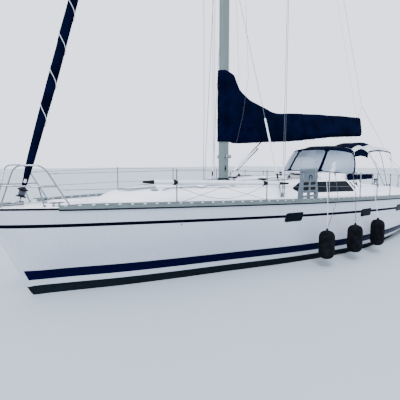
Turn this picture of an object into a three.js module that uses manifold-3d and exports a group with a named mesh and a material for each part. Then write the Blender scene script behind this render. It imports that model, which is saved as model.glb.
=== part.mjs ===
import * as THREE from 'three';
import { mergeVertices } from 'three/addons/utils/BufferGeometryUtils.js';
import { LoftGeometry } from 'three/addons/geometries/LoftGeometry.js';
import Module from 'manifold-3d';

const wasm = await Module();
wasm.setup();

// A cruising sloop of 12.2 m, afloat, with its sails stowed. Sizes are in millimetres.
// X runs aft from the stem head, Y to starboard and Z up from the waterline. The last lines move the
// whole yacht forward, so that its origin lies at mid length.

// Driving dimensions
const gap = 0.3;
const hullLength = 12200;
const midLength = 6100;
const hullSkin = 50;
const stemHeight = 1508;
const sheerSlope = -0.00975;
const sheerCurve = -1.736e-6;
const deckEdge = 25;
const deckCamber = 0.03;
const deckEnd = 11750;
const draught = 1900;

const mastX = 4971;
const mastFoot = 1768;
const mastTop = 17300;
const mastLength = 266;
const mastWidth = 176;
const hounds = 16100;
const gooseneckX = 5190;
const boomHeight = 2870;
const boomRise = 0.052;
const boomEnd = 10850;
const chainplate = new THREE.Vector3(5680, 1200, 1530);
const stayFoot = new THREE.Vector3(571, 0, 1604);
const stayHead = new THREE.Vector3(4855, 0, hounds);

const lifelineHeight = 600;
const stanchionX = [2850, 4650, 6370, 7600, 8440, 9230];
const companionway = 8900;
const cockpit = {
  // heights of the seats and sole, half-widths over the seats and of the well
  end: 11450, seat: 1120, sole: 720, half: 1020, wellHalf: 460, wall: 30,
};
const rudderX = 11000;

// Hull stations: distance aft of the stem head, height of the bottom, height and half-breadth
// at the low waterline, half-breadth at the deck.
const stations = [
  // x, bottom, lowHeight, lowHalf, deckHalf
  [0, 1470, 1490, 8, 16],
  [150, 1180, 1270, 55, 150],
  [400, 640, 830, 70, 300],
  [700, 0, 300, 45, 460],
  [1200, -260, 300, 215, 690],
  [2000, -400, 300, 519, 971],
  [3000, -480, 300, 820, 1294],
  [4000, -530, 300, 1078, 1572],
  [6000, -560, 300, 1594, 1933],
  [8000, -480, 300, 1863, 2003],
  [10000, -260, 300, 1717, 1873],
  [11400, -20, 300, 1450, 1690],
  [12200, 120, 300, 1280, 1562],
];

// Coachroof sections: distance aft, half-width at its foot, height of its shoulder and of its crown.
const roofSections = [
  // x, half, shoulder, crown
  [1860, 120, 1500, 1505],
  [2000, 330, 1560, 1580],
  [2250, 540, 1625, 1665],
  [2900, 820, 1660, 1720],
  [3600, 1000, 1690, 1750],
  [5000, 1120, 1710, 1766],
  [6300, 1210, 1800, 1850],
  [7600, 1220, 1785, 1840],
  [8900, 1210, 1765, 1820],
];

function interpolant(rows) {
  const heads = rows.map((row) => row[0]);
  const values = rows.flatMap((row) => row.slice(1));
  return new THREE.CubicInterpolant(heads, values, rows[0].length - 1);
}

const hullLines = interpolant(stations);
const roofLines = interpolant(roofSections);
const sheer = (x) => stemHeight + sheerSlope * x + sheerCurve * x * x;
const deckHalf = (x) => hullLines.evaluate(x)[3];
const deckTop = (x, y = 0) => {
  const half = deckHalf(x);
  return sheer(x) + deckEdge + deckCamber * half * (1 - (y / half) ** 2);
};
const point = (x, y, z) => new THREE.Vector3(x, y, z);

// Finishes
const finishes = {
  gelcoat: { color: 0xe6e9ee, roughness: 0.3, metalness: 0 },
  hullPaint: { color: 0xc9ced8, roughness: 0.25, metalness: 0 },
  antifouling: { color: 0x20232b, roughness: 0.8, metalness: 0 },
  mastAluminium: { color: 0x7d8680, roughness: 0.5, metalness: 0.7 },
  railAluminium: { color: 0xa5a9ab, roughness: 0.45, metalness: 0.8 },
  stainless: { color: 0xc4c8cc, roughness: 0.2, metalness: 1 },
  galvanised: { color: 0x8f9496, roughness: 0.55, metalness: 0.8 },
  bronze: { color: 0x9a7b3c, roughness: 0.4, metalness: 0.9 },
  canvas: { color: 0x161d3a, roughness: 0.95, metalness: 0 },
  whitePlastic: { color: 0xe9eaec, roughness: 0.45, metalness: 0 },
  greyPlastic: { color: 0x8d9195, roughness: 0.5, metalness: 0 },
  darkGlass: { color: 0x14181e, roughness: 0.12, metalness: 0 },
  fenderCloth: { color: 0x14161f, roughness: 0.95, metalness: 0 },
};

// Solids from three.js geometry. Each is closed and faces outwards.

function solid(geometry) {
  const bare = new THREE.BufferGeometry();
  bare.setAttribute('position', geometry.attributes.position);
  bare.setIndex(geometry.index);
  const merged = mergeVertices(bare, 1e-3);
  const vertices = merged.attributes.position;
  const faces = [];
  const index = merged.index.array;
  const [a, b, c] = [point(), point(), point()];
  let volume = 0;
  for (let i = 0; i < index.length; i += 3) {
    const [p, q, r] = index.slice(i, i + 3);
    if (p === q || q === r || r === p) continue;
    faces.push(p, q, r);
    a.fromBufferAttribute(vertices, p);
    b.fromBufferAttribute(vertices, q);
    c.fromBufferAttribute(vertices, r);
    volume += a.dot(b.cross(c));
  }
  if (volume < 0) faces.reverse();
  return new wasm.Manifold(new wasm.Mesh({
    numProp: 3,
    vertProperties: new Float32Array(vertices.array),
    triVerts: new Uint32Array(faces),
  }));
}

const join = (...bodies) => bodies.flat().reduce((sum, body) => sum.add(body));
const cut = (body, ...tools) => tools.flat().reduce((rest, tool) => rest.subtract(tool), body);

// A body through cross sections, whichever way round their corners are listed
function loft(rings) {
  const first = rings[0];
  const facing = point(0, 0, 0);
  first.forEach((corner, i) => facing.add(corner.clone().cross(first[(i + 1) % first.length])));
  const outward = facing.dot(rings[1][0].clone().sub(first[0])) > 0;
  const ordered = outward ? rings : rings.map((ring) => ring.toReversed());
  return solid(new LoftGeometry(ordered, { capStart: true, capEnd: true }));
}

function block(x0, x1, y0, y1, z0, z1) {
  const geometry = new THREE.BoxGeometry(x1 - x0, y1 - y0, z1 - z0);
  geometry.translate((x0 + x1) / 2, (y0 + y1) / 2, (z0 + z1) / 2);
  return solid(geometry);
}

// A round bar from one point to another, tapered where the end radius differs
function rod(start, end, radius, sides = 10, endRadius = radius) {
  const along = end.clone().sub(start);
  const geometry = new THREE.CylinderGeometry(endRadius, radius, along.length(), sides);
  geometry.translate(0, along.length() / 2, 0);
  geometry.applyQuaternion(new THREE.Quaternion().setFromUnitVectors(point(0, 1, 0), along.normalize()));
  geometry.translate(start.x, start.y, start.z);
  return solid(geometry);
}

function ball(centre, radius, sides = 8) {
  const geometry = new THREE.SphereGeometry(radius, sides, Math.max(4, sides / 2));
  geometry.translate(centre.x, centre.y, centre.z);
  return solid(geometry);
}

// A bent tube through its corner points, with mitred corners
function tube(corners, radius, facets = 6) {
  const headings = corners.slice(1).map((corner, i) => corner.clone().sub(corners[i]).normalize());
  const across = (Math.abs(headings[0].z) < 0.9 ? point(0, 0, 1) : point(1, 0, 0)).cross(headings[0]);
  const rings = [Array.from({ length: facets }, (_, i) => across.clone().setLength(radius)
    .applyAxisAngle(headings[0], (i * 2 * Math.PI) / facets).add(corners[0]))];
  corners.slice(1).forEach((corner, i) => {
    const mitre = headings[i].clone().add(headings[i + 1] ?? headings[i]);
    rings.push(rings.at(-1).map((from) => from.clone().addScaledVector(
      headings[i], corner.clone().sub(from).dot(mitre) / headings[i].dot(mitre),
    )));
  });
  return loft(rings);
}

// A round body turned about an axis: the profile lists radius and distance along the axis
function turned(profile, sides, foot, direction) {
  const outline = profile.map(([radius, along]) => new THREE.Vector2(radius, along));
  const geometry = new THREE.LatheGeometry(outline, sides);
  const heading = direction.clone().normalize();
  geometry.applyQuaternion(new THREE.Quaternion().setFromUnitVectors(point(0, 1, 0), heading));
  geometry.translate(foot.x, foot.y, foot.z);
  return solid(geometry);
}

function extruded(outline, depth) {
  const shape = new THREE.Shape(outline.map(([a, b]) => new THREE.Vector2(a, b)));
  return new THREE.ExtrudeGeometry(shape, { depth, bevelEnabled: false });
}

// A plate whose outline is seen from the side, in X and Z
function sidePlate(outline, y0, y1) {
  const geometry = extruded(outline, y1 - y0);
  geometry.rotateX(Math.PI / 2);
  geometry.translate(0, y1, 0);
  return solid(geometry);
}

// A side plate of the yacht's port or starboard half, from one distance off the centreline to another
const offCentre = (outline, sign, near, far) => sidePlate(
  outline, Math.min(sign * near, sign * far), Math.max(sign * near, sign * far),
);

const mirrored = (corners) => corners.map((corner) => point(corner.x, -corner.y, corner.z));
const sides = [
  // name, sign of Y
  ['port', -1],
  ['starboard', 1],
];

const yacht = new THREE.Group();

function piece(name, body, finish) {
  const mesh = body.getMesh();
  const geometry = new THREE.BufferGeometry();
  geometry.setAttribute('position', new THREE.BufferAttribute(mesh.vertProperties, 3));
  geometry.setIndex(new THREE.BufferAttribute(mesh.triVerts, 1));
  geometry.computeVertexNormals();
  const part = new THREE.Mesh(geometry, new THREE.MeshStandardMaterial(finishes[finish]));
  part.name = name;
  yacht.add(part);
  return body;
}

// Hull

function hullRing(x, inset) {
  const [bottom, lowHeight, lowHalf, edge] = hullLines.evaluate(x);
  const top = sheer(x);
  const halfSection = new THREE.SplineCurve([
    new THREE.Vector2(0, bottom + inset),
    new THREE.Vector2(0.72 * lowHalf, bottom + inset + 0.24 * (lowHeight - bottom)),
    new THREE.Vector2(lowHalf, lowHeight),
    new THREE.Vector2(lowHalf + 0.6 * (edge - lowHalf), (lowHeight + top) / 2),
    new THREE.Vector2(edge, top),
  ]).getPoints(10);
  const starboard = halfSection.map((p, i) => point(x, Math.max(i * 0.5, p.x - inset), p.y));
  const raised = inset > 0 ? [point(x, edge - inset, top + inset)] : [];
  const half = [...starboard, ...raised];
  return [...half.toReversed(), ...mirrored(half.slice(1))];
}

function hullSolid(start, end, inset, steps) {
  const rings = [];
  for (let i = 0; i <= steps; i++) {
    const share = i / steps;
    rings.push(hullRing(start + (end - start) * share, inset));
  }
  return loft(rings);
}

const bowStops = [0, 60, 150, 270, 400, 550, 700, 940];
const midStops = Array.from({ length: 21 }, (_, i) => 1200 + 500 * i);
const hullBody = () => loft([...bowStops, ...midStops, deckEnd, hullLength].map((x) => hullRing(x, 0)));

const ladder = { hingeX: 12235, hingeZ: 395, half: 170, length: 900, axleHalf: 204 };
const stern = {
  // reverse transom with a swim step
  stepHeight: 380,
  stepHalf: 900,
  stepStart: 11500,
};
const transomCutter = sidePlate(
  [[deckEnd + gap, 1400], [12230, stern.stepHeight], [12230, 0], [12600, 0], [12600, 1400]],
  -2100, 2100,
);
const stepCutter = block(
  stern.stepStart, 12600, -stern.stepHalf, stern.stepHalf, stern.stepHeight, 1500,
);
// Open way through the stern, from the cockpit to the swim step
const sternWay = [
  block(11300, 12600, -cockpit.wellHalf, cockpit.wellHalf, cockpit.sole, 1500),
  block(11300, stern.stepStart, -cockpit.half, cockpit.half, cockpit.seat, 1500),
];
const rudderBearing = rod(point(rudderX, 0, -600), point(rudderX, 0, 600), 35.9, 24);
const rudderTube = rod(point(rudderX, 0, -60), point(rudderX, 0, 500), 60, 16);
const hullForm = hullBody();
const hullHollow = hullSolid(1500, 11380, hullSkin, 10);
const ladderLugs = sides.map(([, sign]) => {
  const [inner, outer] = [sign * (ladder.axleHalf + gap), sign * (ladder.axleHalf + 14)];
  return block(12170, ladder.hingeX + 22, Math.min(inner, outer), Math.max(inner, outer), 340, ladder.hingeZ + 20);
});
const hull = piece('hull', cut(
  join(cut(hullForm, hullHollow, transomCutter, stepCutter, sternWay), rudderTube.intersect(hullForm), ladderLugs),
  rudderBearing,
), 'hullPaint');

// A streamlined section in X and Y, nose at x, of the given chord and thickness
function foil(x, chord, thickness, z, points = 8) {
  const upper = [];
  for (let i = 0; i <= points; i++) {
    const share = (1 - Math.cos((Math.PI * i) / points)) / 2;
    const half = thickness * (1.4845 * Math.sqrt(share) - 0.63 * share - 1.758 * share ** 2
      + 1.4215 * share ** 3 - 0.5075 * share ** 4);
    upper.push(point(x + chord * share, Math.max(half, i === points ? 3 : 0), z));
  }
  const lower = mirrored(upper.slice(1)).toReversed();
  return [...upper, ...lower];
}

function keel() {
  const fin = loft([
    foil(5150, 2050, 240, -300),
    foil(5250, 1900, 220, -800),
    foil(5420, 1650, 190, 150 - draught),
  ]);
  const bulb = turned(
    [[0, 0], [120, 90], [200, 350], [215, 800], [170, 1500], [90, 2000], [0, 2300]],
    14, point(5250, 0, 200 - draught), point(1, 0, 0),
  );
  return cut(join(fin, bulb), hull.translate([0, 0, -gap]), hullForm);
}
piece('keel', keel(), 'antifouling');

const rudderBlade = loft([
  foil(10740, 760, 150, -330),
  foil(10790, 700, 130, -900),
  foil(10890, 520, 90, -1700),
]);
piece('rudder', join(rudderBlade, rod(point(rudderX, 0, -500), point(rudderX, 0, 440), 35, 24)), 'antifouling');

const shaft = {
  // x of the leg's nose, height of the propeller shaft and of the gear bulb's ends
  legNose: 8900,
  height: -880,
  bulbStart: 8830,
  bulbEnd: 9230,
  hubEnd: 9400,
  bladeX: 9300,
  bladeRadius: 225,
};
function driveLeg() {
  const strut = loft([foil(shaft.legNose, 300, 100, -250), foil(shaft.legNose + 20, 280, 90, shaft.height)]);
  const bulbLength = shaft.bulbEnd - shaft.bulbStart;
  const bulb = turned(
    [[0, 0], [40, 25], [58, 100], [58, 300], [50, bulbLength], [0, bulbLength]],
    14, point(shaft.bulbStart, 0, shaft.height), point(1, 0, 0),
  );
  return cut(join(strut, bulb), hull.translate([0, 0, -gap]), hullForm);
}
piece('drive_leg', driveLeg(), 'greyPlastic');

function propeller() {
  const hub = turned(
    [[0, 0], [48, 0], [48, 120], [30, 150], [0, 168]],
    14, point(shaft.bulbEnd + gap, 0, shaft.height), point(1, 0, 0),
  );
  const blades = [0, 1, 2].map((i) => {
    const blade = new THREE.CylinderGeometry(85, 45, shaft.bladeRadius - 30, 10);
    blade.scale(1, 1, 0.09);
    blade.translate(0, (shaft.bladeRadius + 30) / 2, 0);
    blade.rotateY(THREE.MathUtils.degToRad(60));
    blade.rotateX((i * 2 * Math.PI) / 3);
    blade.translate(shaft.bladeX, 0, shaft.height);
    return solid(blade);
  });
  return join(hub, blades);
}
piece('propeller', propeller(), 'bronze');

// Deck, coachroof and cockpit moulding

function deckRing(x) {
  const half = deckHalf(x) - 3;
  const top = [];
  for (let i = 0; i <= 8; i++) {
    const y = half * (1 - i / 4);
    top.push(point(x, y, deckTop(x, y)));
  }
  return [point(x, half, sheer(x) + gap), ...top, point(x, -half, sheer(x) + gap)];
}

const deckSlab = () => loft([...bowStops.slice(1), ...midStops, deckEnd].map(deckRing));

function roofRing(x, inset, foot = sheer(x) + 5) {
  const [half, shoulder, crown] = roofLines.evaluate(x);
  const rounding = Math.min(170, 0.5 * half);
  const rise = shoulder - inset - foot;
  const side = [
    [half - inset, foot],
    [half - 0.4 * rounding - inset, foot + 0.72 * rise],
    [half - 0.62 * rounding - inset, foot + 0.93 * rise],
    [half - rounding - inset, foot + rise],
    [half * 0.45, crown - 0.2 * (crown - shoulder) - inset],
  ].map(([y, z]) => point(x, y, z));
  return [...side, point(x, 0, crown - inset), ...mirrored(side).toReversed()];
}

const roofStops = [3600, 4300, 5000, 5650, 6300, 7600];
const roofOuter = loft([1860, 2000, 2250, 2900, ...roofStops, companionway].map((x) => roofRing(x, 0)));
const cabinInner = loft([3000, ...roofStops, companionway - 60].map((x) => roofRing(x, 60, 1150)));

// Long cabin window: outline seen from the side, with its aft end sloped
const windowOutline = [[6060, 1625], [6350, 1752], [8330, 1716], [8630, 1445], [6280, 1520]];
const windowCutters = sides.map(([, sign]) => offCentre(windowOutline, sign, 900, 1400));

// Hatches on the deck and roof, each lying at the slope of the surface under it: x of the hinge, length
// towards the free edge, half-width, height of the frame and thickness of the lid.
const hatches = {
  anchor: { hinge: 1640, length: -540, half: 230, frame: 8, lid: 18 },
  fore: { hinge: 2380, length: 620, half: 270, frame: 16, lid: 20 },
  saloon: { hinge: 3560, length: 620, half: 300, frame: 18, lid: 22 },
};
const baseTop = (x) => Math.max(deckTop(x), x > 1860 && x < companionway ? roofLines.evaluate(x)[2] : 0);

// A box over a hatch, between two heights above the hatch's frame
function hatchBox({ hinge, length, half, frame }, inset, low, high) {
  const middle = hinge + length / 2;
  const reach = Math.abs(length) / 2 - inset;
  const slope = (baseTop(middle + 200) - baseTop(middle - 200)) / 400;
  return block(-reach, reach, inset - half, half - inset, low, high)
    .rotate([0, -THREE.MathUtils.radToDeg(Math.atan(slope)), 0])
    .translate([middle, 0, baseTop(middle) + frame]);
}
const hatchFrames = Object.values(hatches).map((hatch) => hatchBox(hatch, 0, -70, 0));
const hatchHoles = [hatches.fore, hatches.saloon].map((hatch) => hatchBox(hatch, 40, -600, 200));
const anchorWell = block(1110, 1630, -220, 220, 1150, 1500);
const anchorWellHole = block(1140, 1600, -190, 190, 1180, 1700);

// Companionway opening, its slides on the roof and the sliding hatch
const slide = { start: 8060, half: 350, travel: 520, top: 1880, lid: 22 };
const slideRails = sides.map(([, sign]) => {
  const start = slide.start - slide.travel - 20;
  const outline = [[start, 1700], [start, slide.top], [companionway, slide.top], [companionway, 1700]];
  return offCentre(outline, sign, slide.half - 4, slide.half + 26);
});
const entryHole = join(
  block(8200, companionway + 200, -slide.half + 60, slide.half - 60, 1180, 2000),
  block(8200, companionway - 60, -slide.half + 60, slide.half - 60, 900, 2000),
);

// Cockpit: coamings, seats and well
const coamingProfile = [
  [companionway - 40, 1200], [companionway - 40, 1740], [9150, 1610], [10900, 1480], [cockpit.end, 1380],
  [11600, 1190], [11600, 1130],
];
const coamings = sides.map(([, sign]) => offCentre(coamingProfile, sign, cockpit.half, 1230));
function cockpitTrough(half, floor, top) {
  return block(companionway - 60, cockpit.end + 40, -half - 40, half + 40, floor - cockpit.wall, top);
}
const cockpitTub = join(
  cockpitTrough(cockpit.half, cockpit.seat, 1300), cockpitTrough(cockpit.wellHalf, cockpit.sole, 1200),
);
const cockpitSeats = block(companionway, cockpit.end + 400, -cockpit.half, cockpit.half, cockpit.seat, 2200);
const cockpitWell = block(
  companionway, cockpit.end + 400, -cockpit.wellHalf, cockpit.wellHalf, cockpit.sole, 2200,
);
const bulkhead = block(companionway - 60, companionway, -cockpit.half, cockpit.half, 1100, 1800);

const deckOuter = join(
  deckSlab(), roofOuter, hatchFrames, anchorWell, slideRails, coamings, cockpitTub, bulkhead,
);
const deck = piece('deck', cut(
  deckOuter, cabinInner, windowCutters, hatchHoles, anchorWellHole, entryHole, cockpitSeats, cockpitWell,
  hull, hull.translate([0, 0, gap]),
), 'gelcoat');

// Whatever stands on the deck is trimmed to it
const seated = (body) => cut(body, deck.translate([0, 0, gap]), deck);

const paneSkin = cut(
  loft([5900, 6300, 7600, 8800].map((x) => roofRing(x, 8))),
  loft([5900, 6300, 7600, 8800].map((x) => roofRing(x, 22))),
);
const nudges = [[gap, 0, 0], [-gap, 0, 0], [0, 0, gap], [0, 0, -gap]];
const deckNudges = nudges.map((nudge) => deck.translate(nudge));
sides.forEach(([name], i) => {
  piece(`cabin_window_${name}`, cut(paneSkin.intersect(windowCutters[i]), deck, deckNudges), 'darkGlass');
});

for (const [name, hatch] of Object.entries(hatches)) {
  piece(`${name}_hatch_lid`, hatchBox(hatch, 0, gap, hatch.lid), name === 'anchor' ? 'gelcoat' : 'darkGlass');
}

piece('companionway_hatch', block(
  slide.start, companionway + 30, -slide.half - 26, slide.half + 26, slide.top + gap, slide.top + slide.lid,
), 'darkGlass');
piece('washboard', block(
  companionway + gap, companionway + 22, -slide.half + 30, slide.half - 30, 1150, 1840,
), 'darkGlass');

// Deck gear

const railHeight = (x, y, above) => deckTop(x, y) + above;

// Toe rail: a base plate and an upright web, with a lip over the hull's edge
const toeRail = { start: 1000, fullHeight: 1200, web: 46, plate: 6, lip: 8 };
function toeRailRing(x, sign) {
  const edge = deckHalf(x);
  const foot = sheer(x) + deckEdge + 2;
  const plate = foot + toeRail.plate;
  const top = x < toeRail.fullHeight ? plate + 4 : foot + toeRail.web;
  const lip = sheer(x) - toeRail.lip;
  const profile = [
    [-48, foot], [-48, plate], [-24, plate], [-24, top], [-14, top], [-14, plate],
    [10, plate], [10, lip], [4, lip], [4, foot],
  ];
  return profile.map(([out, z]) => point(x, sign * (edge + out), z));
}

for (const [name, sign] of sides) {
  const stops = [toeRail.start, ...midStops, deckEnd - 60];
  const rail = loft(stops.map((x) => toeRailRing(x, sign)));
  piece(`toe_rail_${name}`, cut(seated(rail), hull, hull.translate([0, sign * gap, 0])), 'railAluminium');
}

// Stemhead fitting with its roller, and the anchor stowed on it
const stemCheek = [[-60, 1560], [-60, 1540], [620, 1520], [620, 1600], [540, 1600], [480, 1565]];
const stemPlate = join(
  sides.map(([, sign]) => offCentre(stemCheek, sign, 40, 46)),
  block(60, 620, -46, 46, 1510, 1549),
  rod(point(-5, -46, 1552), point(-5, 46, 1552), 9, 12),
  block(545, 620, -46, 46, 1584, 1600),
);
piece('stemhead_fitting', cut(seated(stemPlate), hull, hull.translate([-gap, 0, 0])), 'stainless');

function anchorBody() {
  const shank = sidePlate([[-110, 1575], [-60, 1596], [430, 1592], [430, 1561.4], [-40, 1561.4]], -9, 9);
  const crown = sidePlate(
    [[-60, 1596], [-35, 1561.4], [-60, 1440], [-110, 1330], [-150, 1320], [-120, 1450]], -12, 12,
  );
  const ploughs = sides.map(([, sign]) => loft([
    [[-40, 0, 1450], [-70, 0, 1440], [-150, 0, 1320], [-130, 0, 1300]],
    [[-30, 170, 1560], [-60, 165, 1560], [-190, 95, 1430], [-180, 95, 1400]],
  ].map((ring) => ring.map(([x, y, z]) => point(x, sign * y, z)))));
  return join(shank, crown, ploughs);
}
piece('anchor', anchorBody(), 'galvanised');

// Pulpit: corners of the port side, with Y positive outboard
const pulpitCorners = {
  frontFoot: point(250, 150, 1525),
  frontTop: point(440, 350, 2180),
  aftTop: point(800, 560, 2180),
  aftFoot: point(1190, 612, 1508),
  middleFoot: point(830, 452, 1510),
  middleTop: point(735, 515, 1850),
  low: point(990, 599, 1850),
  lowFront: point(350, 256, 1870),
  nose: point(-60, 130, 1885),
};
function pulpitSide(sign) {
  const at = (name) => point(pulpitCorners[name].x, sign * pulpitCorners[name].y, pulpitCorners[name].z);
  return join(
    tube(['frontFoot', 'frontTop', 'aftTop', 'aftFoot'].map(at), 12.5, 8),
    rod(at('middleTop'), at('middleFoot'), 12.5, 8),
  );
}
const lowRail = ['low', 'middleTop', 'lowFront', 'nose'].map((name) => pulpitCorners[name]);
const bowRail = tube([...lowRail, ...mirrored(lowRail).toReversed()], 12.5, 8);
const pulpit = seated(join(pulpitSide(-1), pulpitSide(1), bowRail));
piece('pulpit', pulpit, 'stainless');

// Stanchions with their lifelines
const stanchionY = (x) => deckHalf(x) - 75;
for (const [name, sign] of sides) {
  const foot = (x, above) => point(x, sign * stanchionY(x), railHeight(x, stanchionY(x), above));
  const posts = stanchionX.map((x) => join(
    rod(foot(x, -15), foot(x, lifelineHeight + 12), 12.5, 6),
    rod(foot(x, -15), foot(x, 60), 20, 6),
  ));
  const pushpitX = 10420;
  const ties = [...stanchionX, pushpitX];
  const upper = [point(905, sign * 578, 2050), ...ties.map((x) => foot(x, lifelineHeight - 12))];
  const lower = [point(1070, sign * 606, 1790), ...ties.map((x) => foot(x, 290))];
  const lines = [upper, lower].map((corners) => tube(corners, 4));
  const stanchions = cut(seated(join(posts, lines)), pulpit);
  piece(`stanchions_${name}`, stanchions, 'stainless');
}

// Pushpit, one frame on each quarter
const pushpit = { start: 10440, post: 11300, corner: 11640, inner: 980, top: 610, middle: 300, foot: -15 };
for (const [name, sign] of sides) {
  const at = (x, y, above) => point(x, sign * y, railHeight(x, y, above));
  const edge = (x, above) => at(x, stanchionY(x), above);
  const corner = (above) => at(pushpit.corner, stanchionY(pushpit.corner) - 40, above);
  const inner = (above) => at(pushpit.corner + 20, pushpit.inner, above);
  const { start, post, top, middle, foot } = pushpit;
  const frame = join(
    tube([edge(start, foot), edge(start, top), edge(post, top), corner(top), inner(top), inner(foot)], 12.5),
    tube([edge(start, middle), edge(post, middle), corner(middle), inner(middle)], 9),
    rod(edge(post, foot), edge(post, top), 12.5, 8),
  );
  piece(`pushpit_${name}`, seated(frame), 'stainless');
}

// Whisker pole, carried along the port stanchions
const pole = { start: point(2290, -965, 1893), end: point(5230, -1704, 1794), radius: 42 };
function whiskerPole() {
  const along = pole.end.clone().sub(pole.start);
  const length = along.length();
  return turned([
    [0, 0], [22, 0], [26, 120], [pole.radius, 220], [pole.radius, length - 260], [24, length - 110],
    [20, length], [0, length],
  ], 12, pole.start, along);
}
const poleBrackets = [2850, 4650].map((x) => {
  const share = (x - pole.start.x) / (pole.end.x - pole.start.x);
  const seat = pole.start.clone().lerp(pole.end, share);
  return block(x - 20, x + 20, -stanchionY(x) + 12.5 + gap, seat.y + 10, seat.z - 12, seat.z + 12);
});
piece('whisker_pole', join(whiskerPole(), poleBrackets), 'mastAluminium');

// A point on the straight lifeline between two stanchions
function onLifeline(x, above, sign) {
  const bay = stanchionX.findIndex((post) => post > x);
  const [before, after] = [stanchionX[bay - 1], stanchionX[bay]];
  const top = (post) => point(post, sign * stanchionY(post), railHeight(post, stanchionY(post), above));
  return top(before).lerp(top(after), (x - before) / (after - before));
}

// Folded boarding steps, hung inside the port lifelines
function boardingSteps() {
  const [start, end, low, high] = [5520, 6180, 1440, 2090];
  const outer = onLifeline(start, 0, -1).y + 14;
  const panel = sidePlate([[start, low], [start, high], [end, high], [end, low]], outer, outer + 45);
  const hole = (x, z, width, height) => block(
    x - width / 2, x + width / 2, outer - 5, outer + 60, z - height / 2, z + height / 2,
  );
  const treads = [1555, 1671, 1774].flatMap((z) => [5760, 6010].map((x) => hole(x, z, 160, 56)));
  const handle = hole(5885, 1895, 110, 70);
  const hooks = [start + 90, end - 90].map((x) => {
    const line = onLifeline(x, lifelineHeight - 12, -1);
    return block(x - 12, x + 12, line.y - 14, outer + 5, line.z + 4 + gap, line.z + 14);
  });
  return join(cut(panel, handle, treads), hooks);
}
piece('boarding_steps', boardingSteps(), 'greyPlastic');

// Cockpit fittings: pedestal, wheel, swim ladder, winches and cleats
const pedestal = {
  // x of the column, half-width of its foot, height of the wheel's hub
  x: 10150, half: 110, hub: 1560, top: 1720,
};
function pedestalBody() {
  const ring = (z, halfX, halfY) => [[-1, -1], [1, -1], [1, 1], [-1, 1]]
    .map(([a, b]) => point(pedestal.x + a * halfX, b * halfY, z));
  const column = loft([
    ring(cockpit.sole - 20, 130, pedestal.half), ring(900, 75, 80), ring(1450, 70, 80), ring(1620, 110, 120),
    ring(pedestal.top, 90, 100),
  ]);
  const compass = turned(
    [[0, 0], [75, 0], [85, 40], [60, 90], [0, 110]], 12, point(pedestal.x, 0, pedestal.top - 5), point(0, 0, 1),
  );
  const guard = tube([
    point(10020, -150, cockpit.sole - 20), point(10020, -150, 1820), point(10020, 150, 1820),
    point(10020, 150, cockpit.sole - 20),
  ], 14);
  const stays = [-1, 1].map((sign) => rod(point(10020, sign * 150, 1560), point(pedestal.x, sign * 60, 1560), 10, 6));
  const boss = rod(point(pedestal.x, 0, pedestal.hub), point(pedestal.x + 115, 0, pedestal.hub), 42, 12);
  return join(column, compass, guard, stays, boss);
}
piece('pedestal', seated(pedestalBody()), 'whitePlastic');

const wheelRadius = 430;
function steeringWheel() {
  const x = pedestal.x + 150;
  const rim = new THREE.TorusGeometry(wheelRadius, 14, 6, 30);
  rim.rotateY(Math.PI / 2);
  rim.translate(x, 0, pedestal.hub);
  const hub = rod(point(pedestal.x + 115 + gap, 0, pedestal.hub), point(x + 25, 0, pedestal.hub), 38, 12);
  const spokes = [0, 1, 2, 3, 4, 5].map((i) => {
    const angle = (i * Math.PI) / 3;
    const tip = point(x, wheelRadius * Math.sin(angle), pedestal.hub + wheelRadius * Math.cos(angle));
    return rod(point(x, 0, pedestal.hub), tip, 8, 6);
  });
  return join(solid(rim), hub, spokes);
}
piece('steering_wheel', steeringWheel(), 'stainless');

function swimLadder() {
  const at = (y, rise) => point(ladder.hingeX, y, ladder.hingeZ + rise);
  const rails = sides.map(([, sign]) => rod(at(sign * ladder.half, 0), at(sign * ladder.half, ladder.length), 14, 8));
  const rungs = [180, 420, 660, 880].map((rise) => rod(at(-ladder.half, rise), at(ladder.half, rise), 12, 8));
  return join(rails, rungs, rod(at(-ladder.axleHalf, 0), at(ladder.axleHalf, 0), 14, 8));
}
piece('swim_ladder', swimLadder(), 'stainless');

const winchSpots = [
  // name, x, y, foot height, radius
  ['winch_cockpit_port', 9900, -1125, 1500, 95],
  ['winch_cockpit_starboard', 9900, 1125, 1500, 95],
  ['winch_roof_port', 8500, -760, 1760, 75],
  ['winch_roof_starboard', 8500, 760, 1760, 75],
];
for (const [name, x, y, z, radius] of winchSpots) {
  const profile = [
    [0, 0], [radius, 0], [radius, 80], [radius * 0.72, 105], [radius * 0.66, 190], [radius * 0.9, 215],
    [radius * 0.9, 240], [0, 250],
  ];
  piece(name, seated(turned(profile, 16, point(x, y, z), point(0, 0, 1))), 'stainless');
}

const cleatSpots = [
  // name, x, inboard distance from the deck edge, side
  ['cleat_bow_port', 1010, 150, -1],
  ['cleat_bow_starboard', 1010, 150, 1],
  ['cleat_stern_port', 11250, 170, -1],
  ['cleat_stern_starboard', 11250, 170, 1],
];
for (const [name, x, inboard, sign] of cleatSpots) {
  const y = sign * (deckHalf(x) - inboard);
  const z = railHeight(x, y, 0);
  const horn = rod(point(x - 130, y, z + 52), point(x + 130, y, z + 52), 15, 8);
  const feet = [-45, 45].map((along) => rod(point(x + along, y, z - 14), point(x + along, y, z + 50), 16, 8));
  const base = block(x - 75, x + 75, y - 22, y + 22, z - 14, z + 8);
  piece(name, seated(join(horn, feet, base)), 'railAluminium');
}

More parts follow.
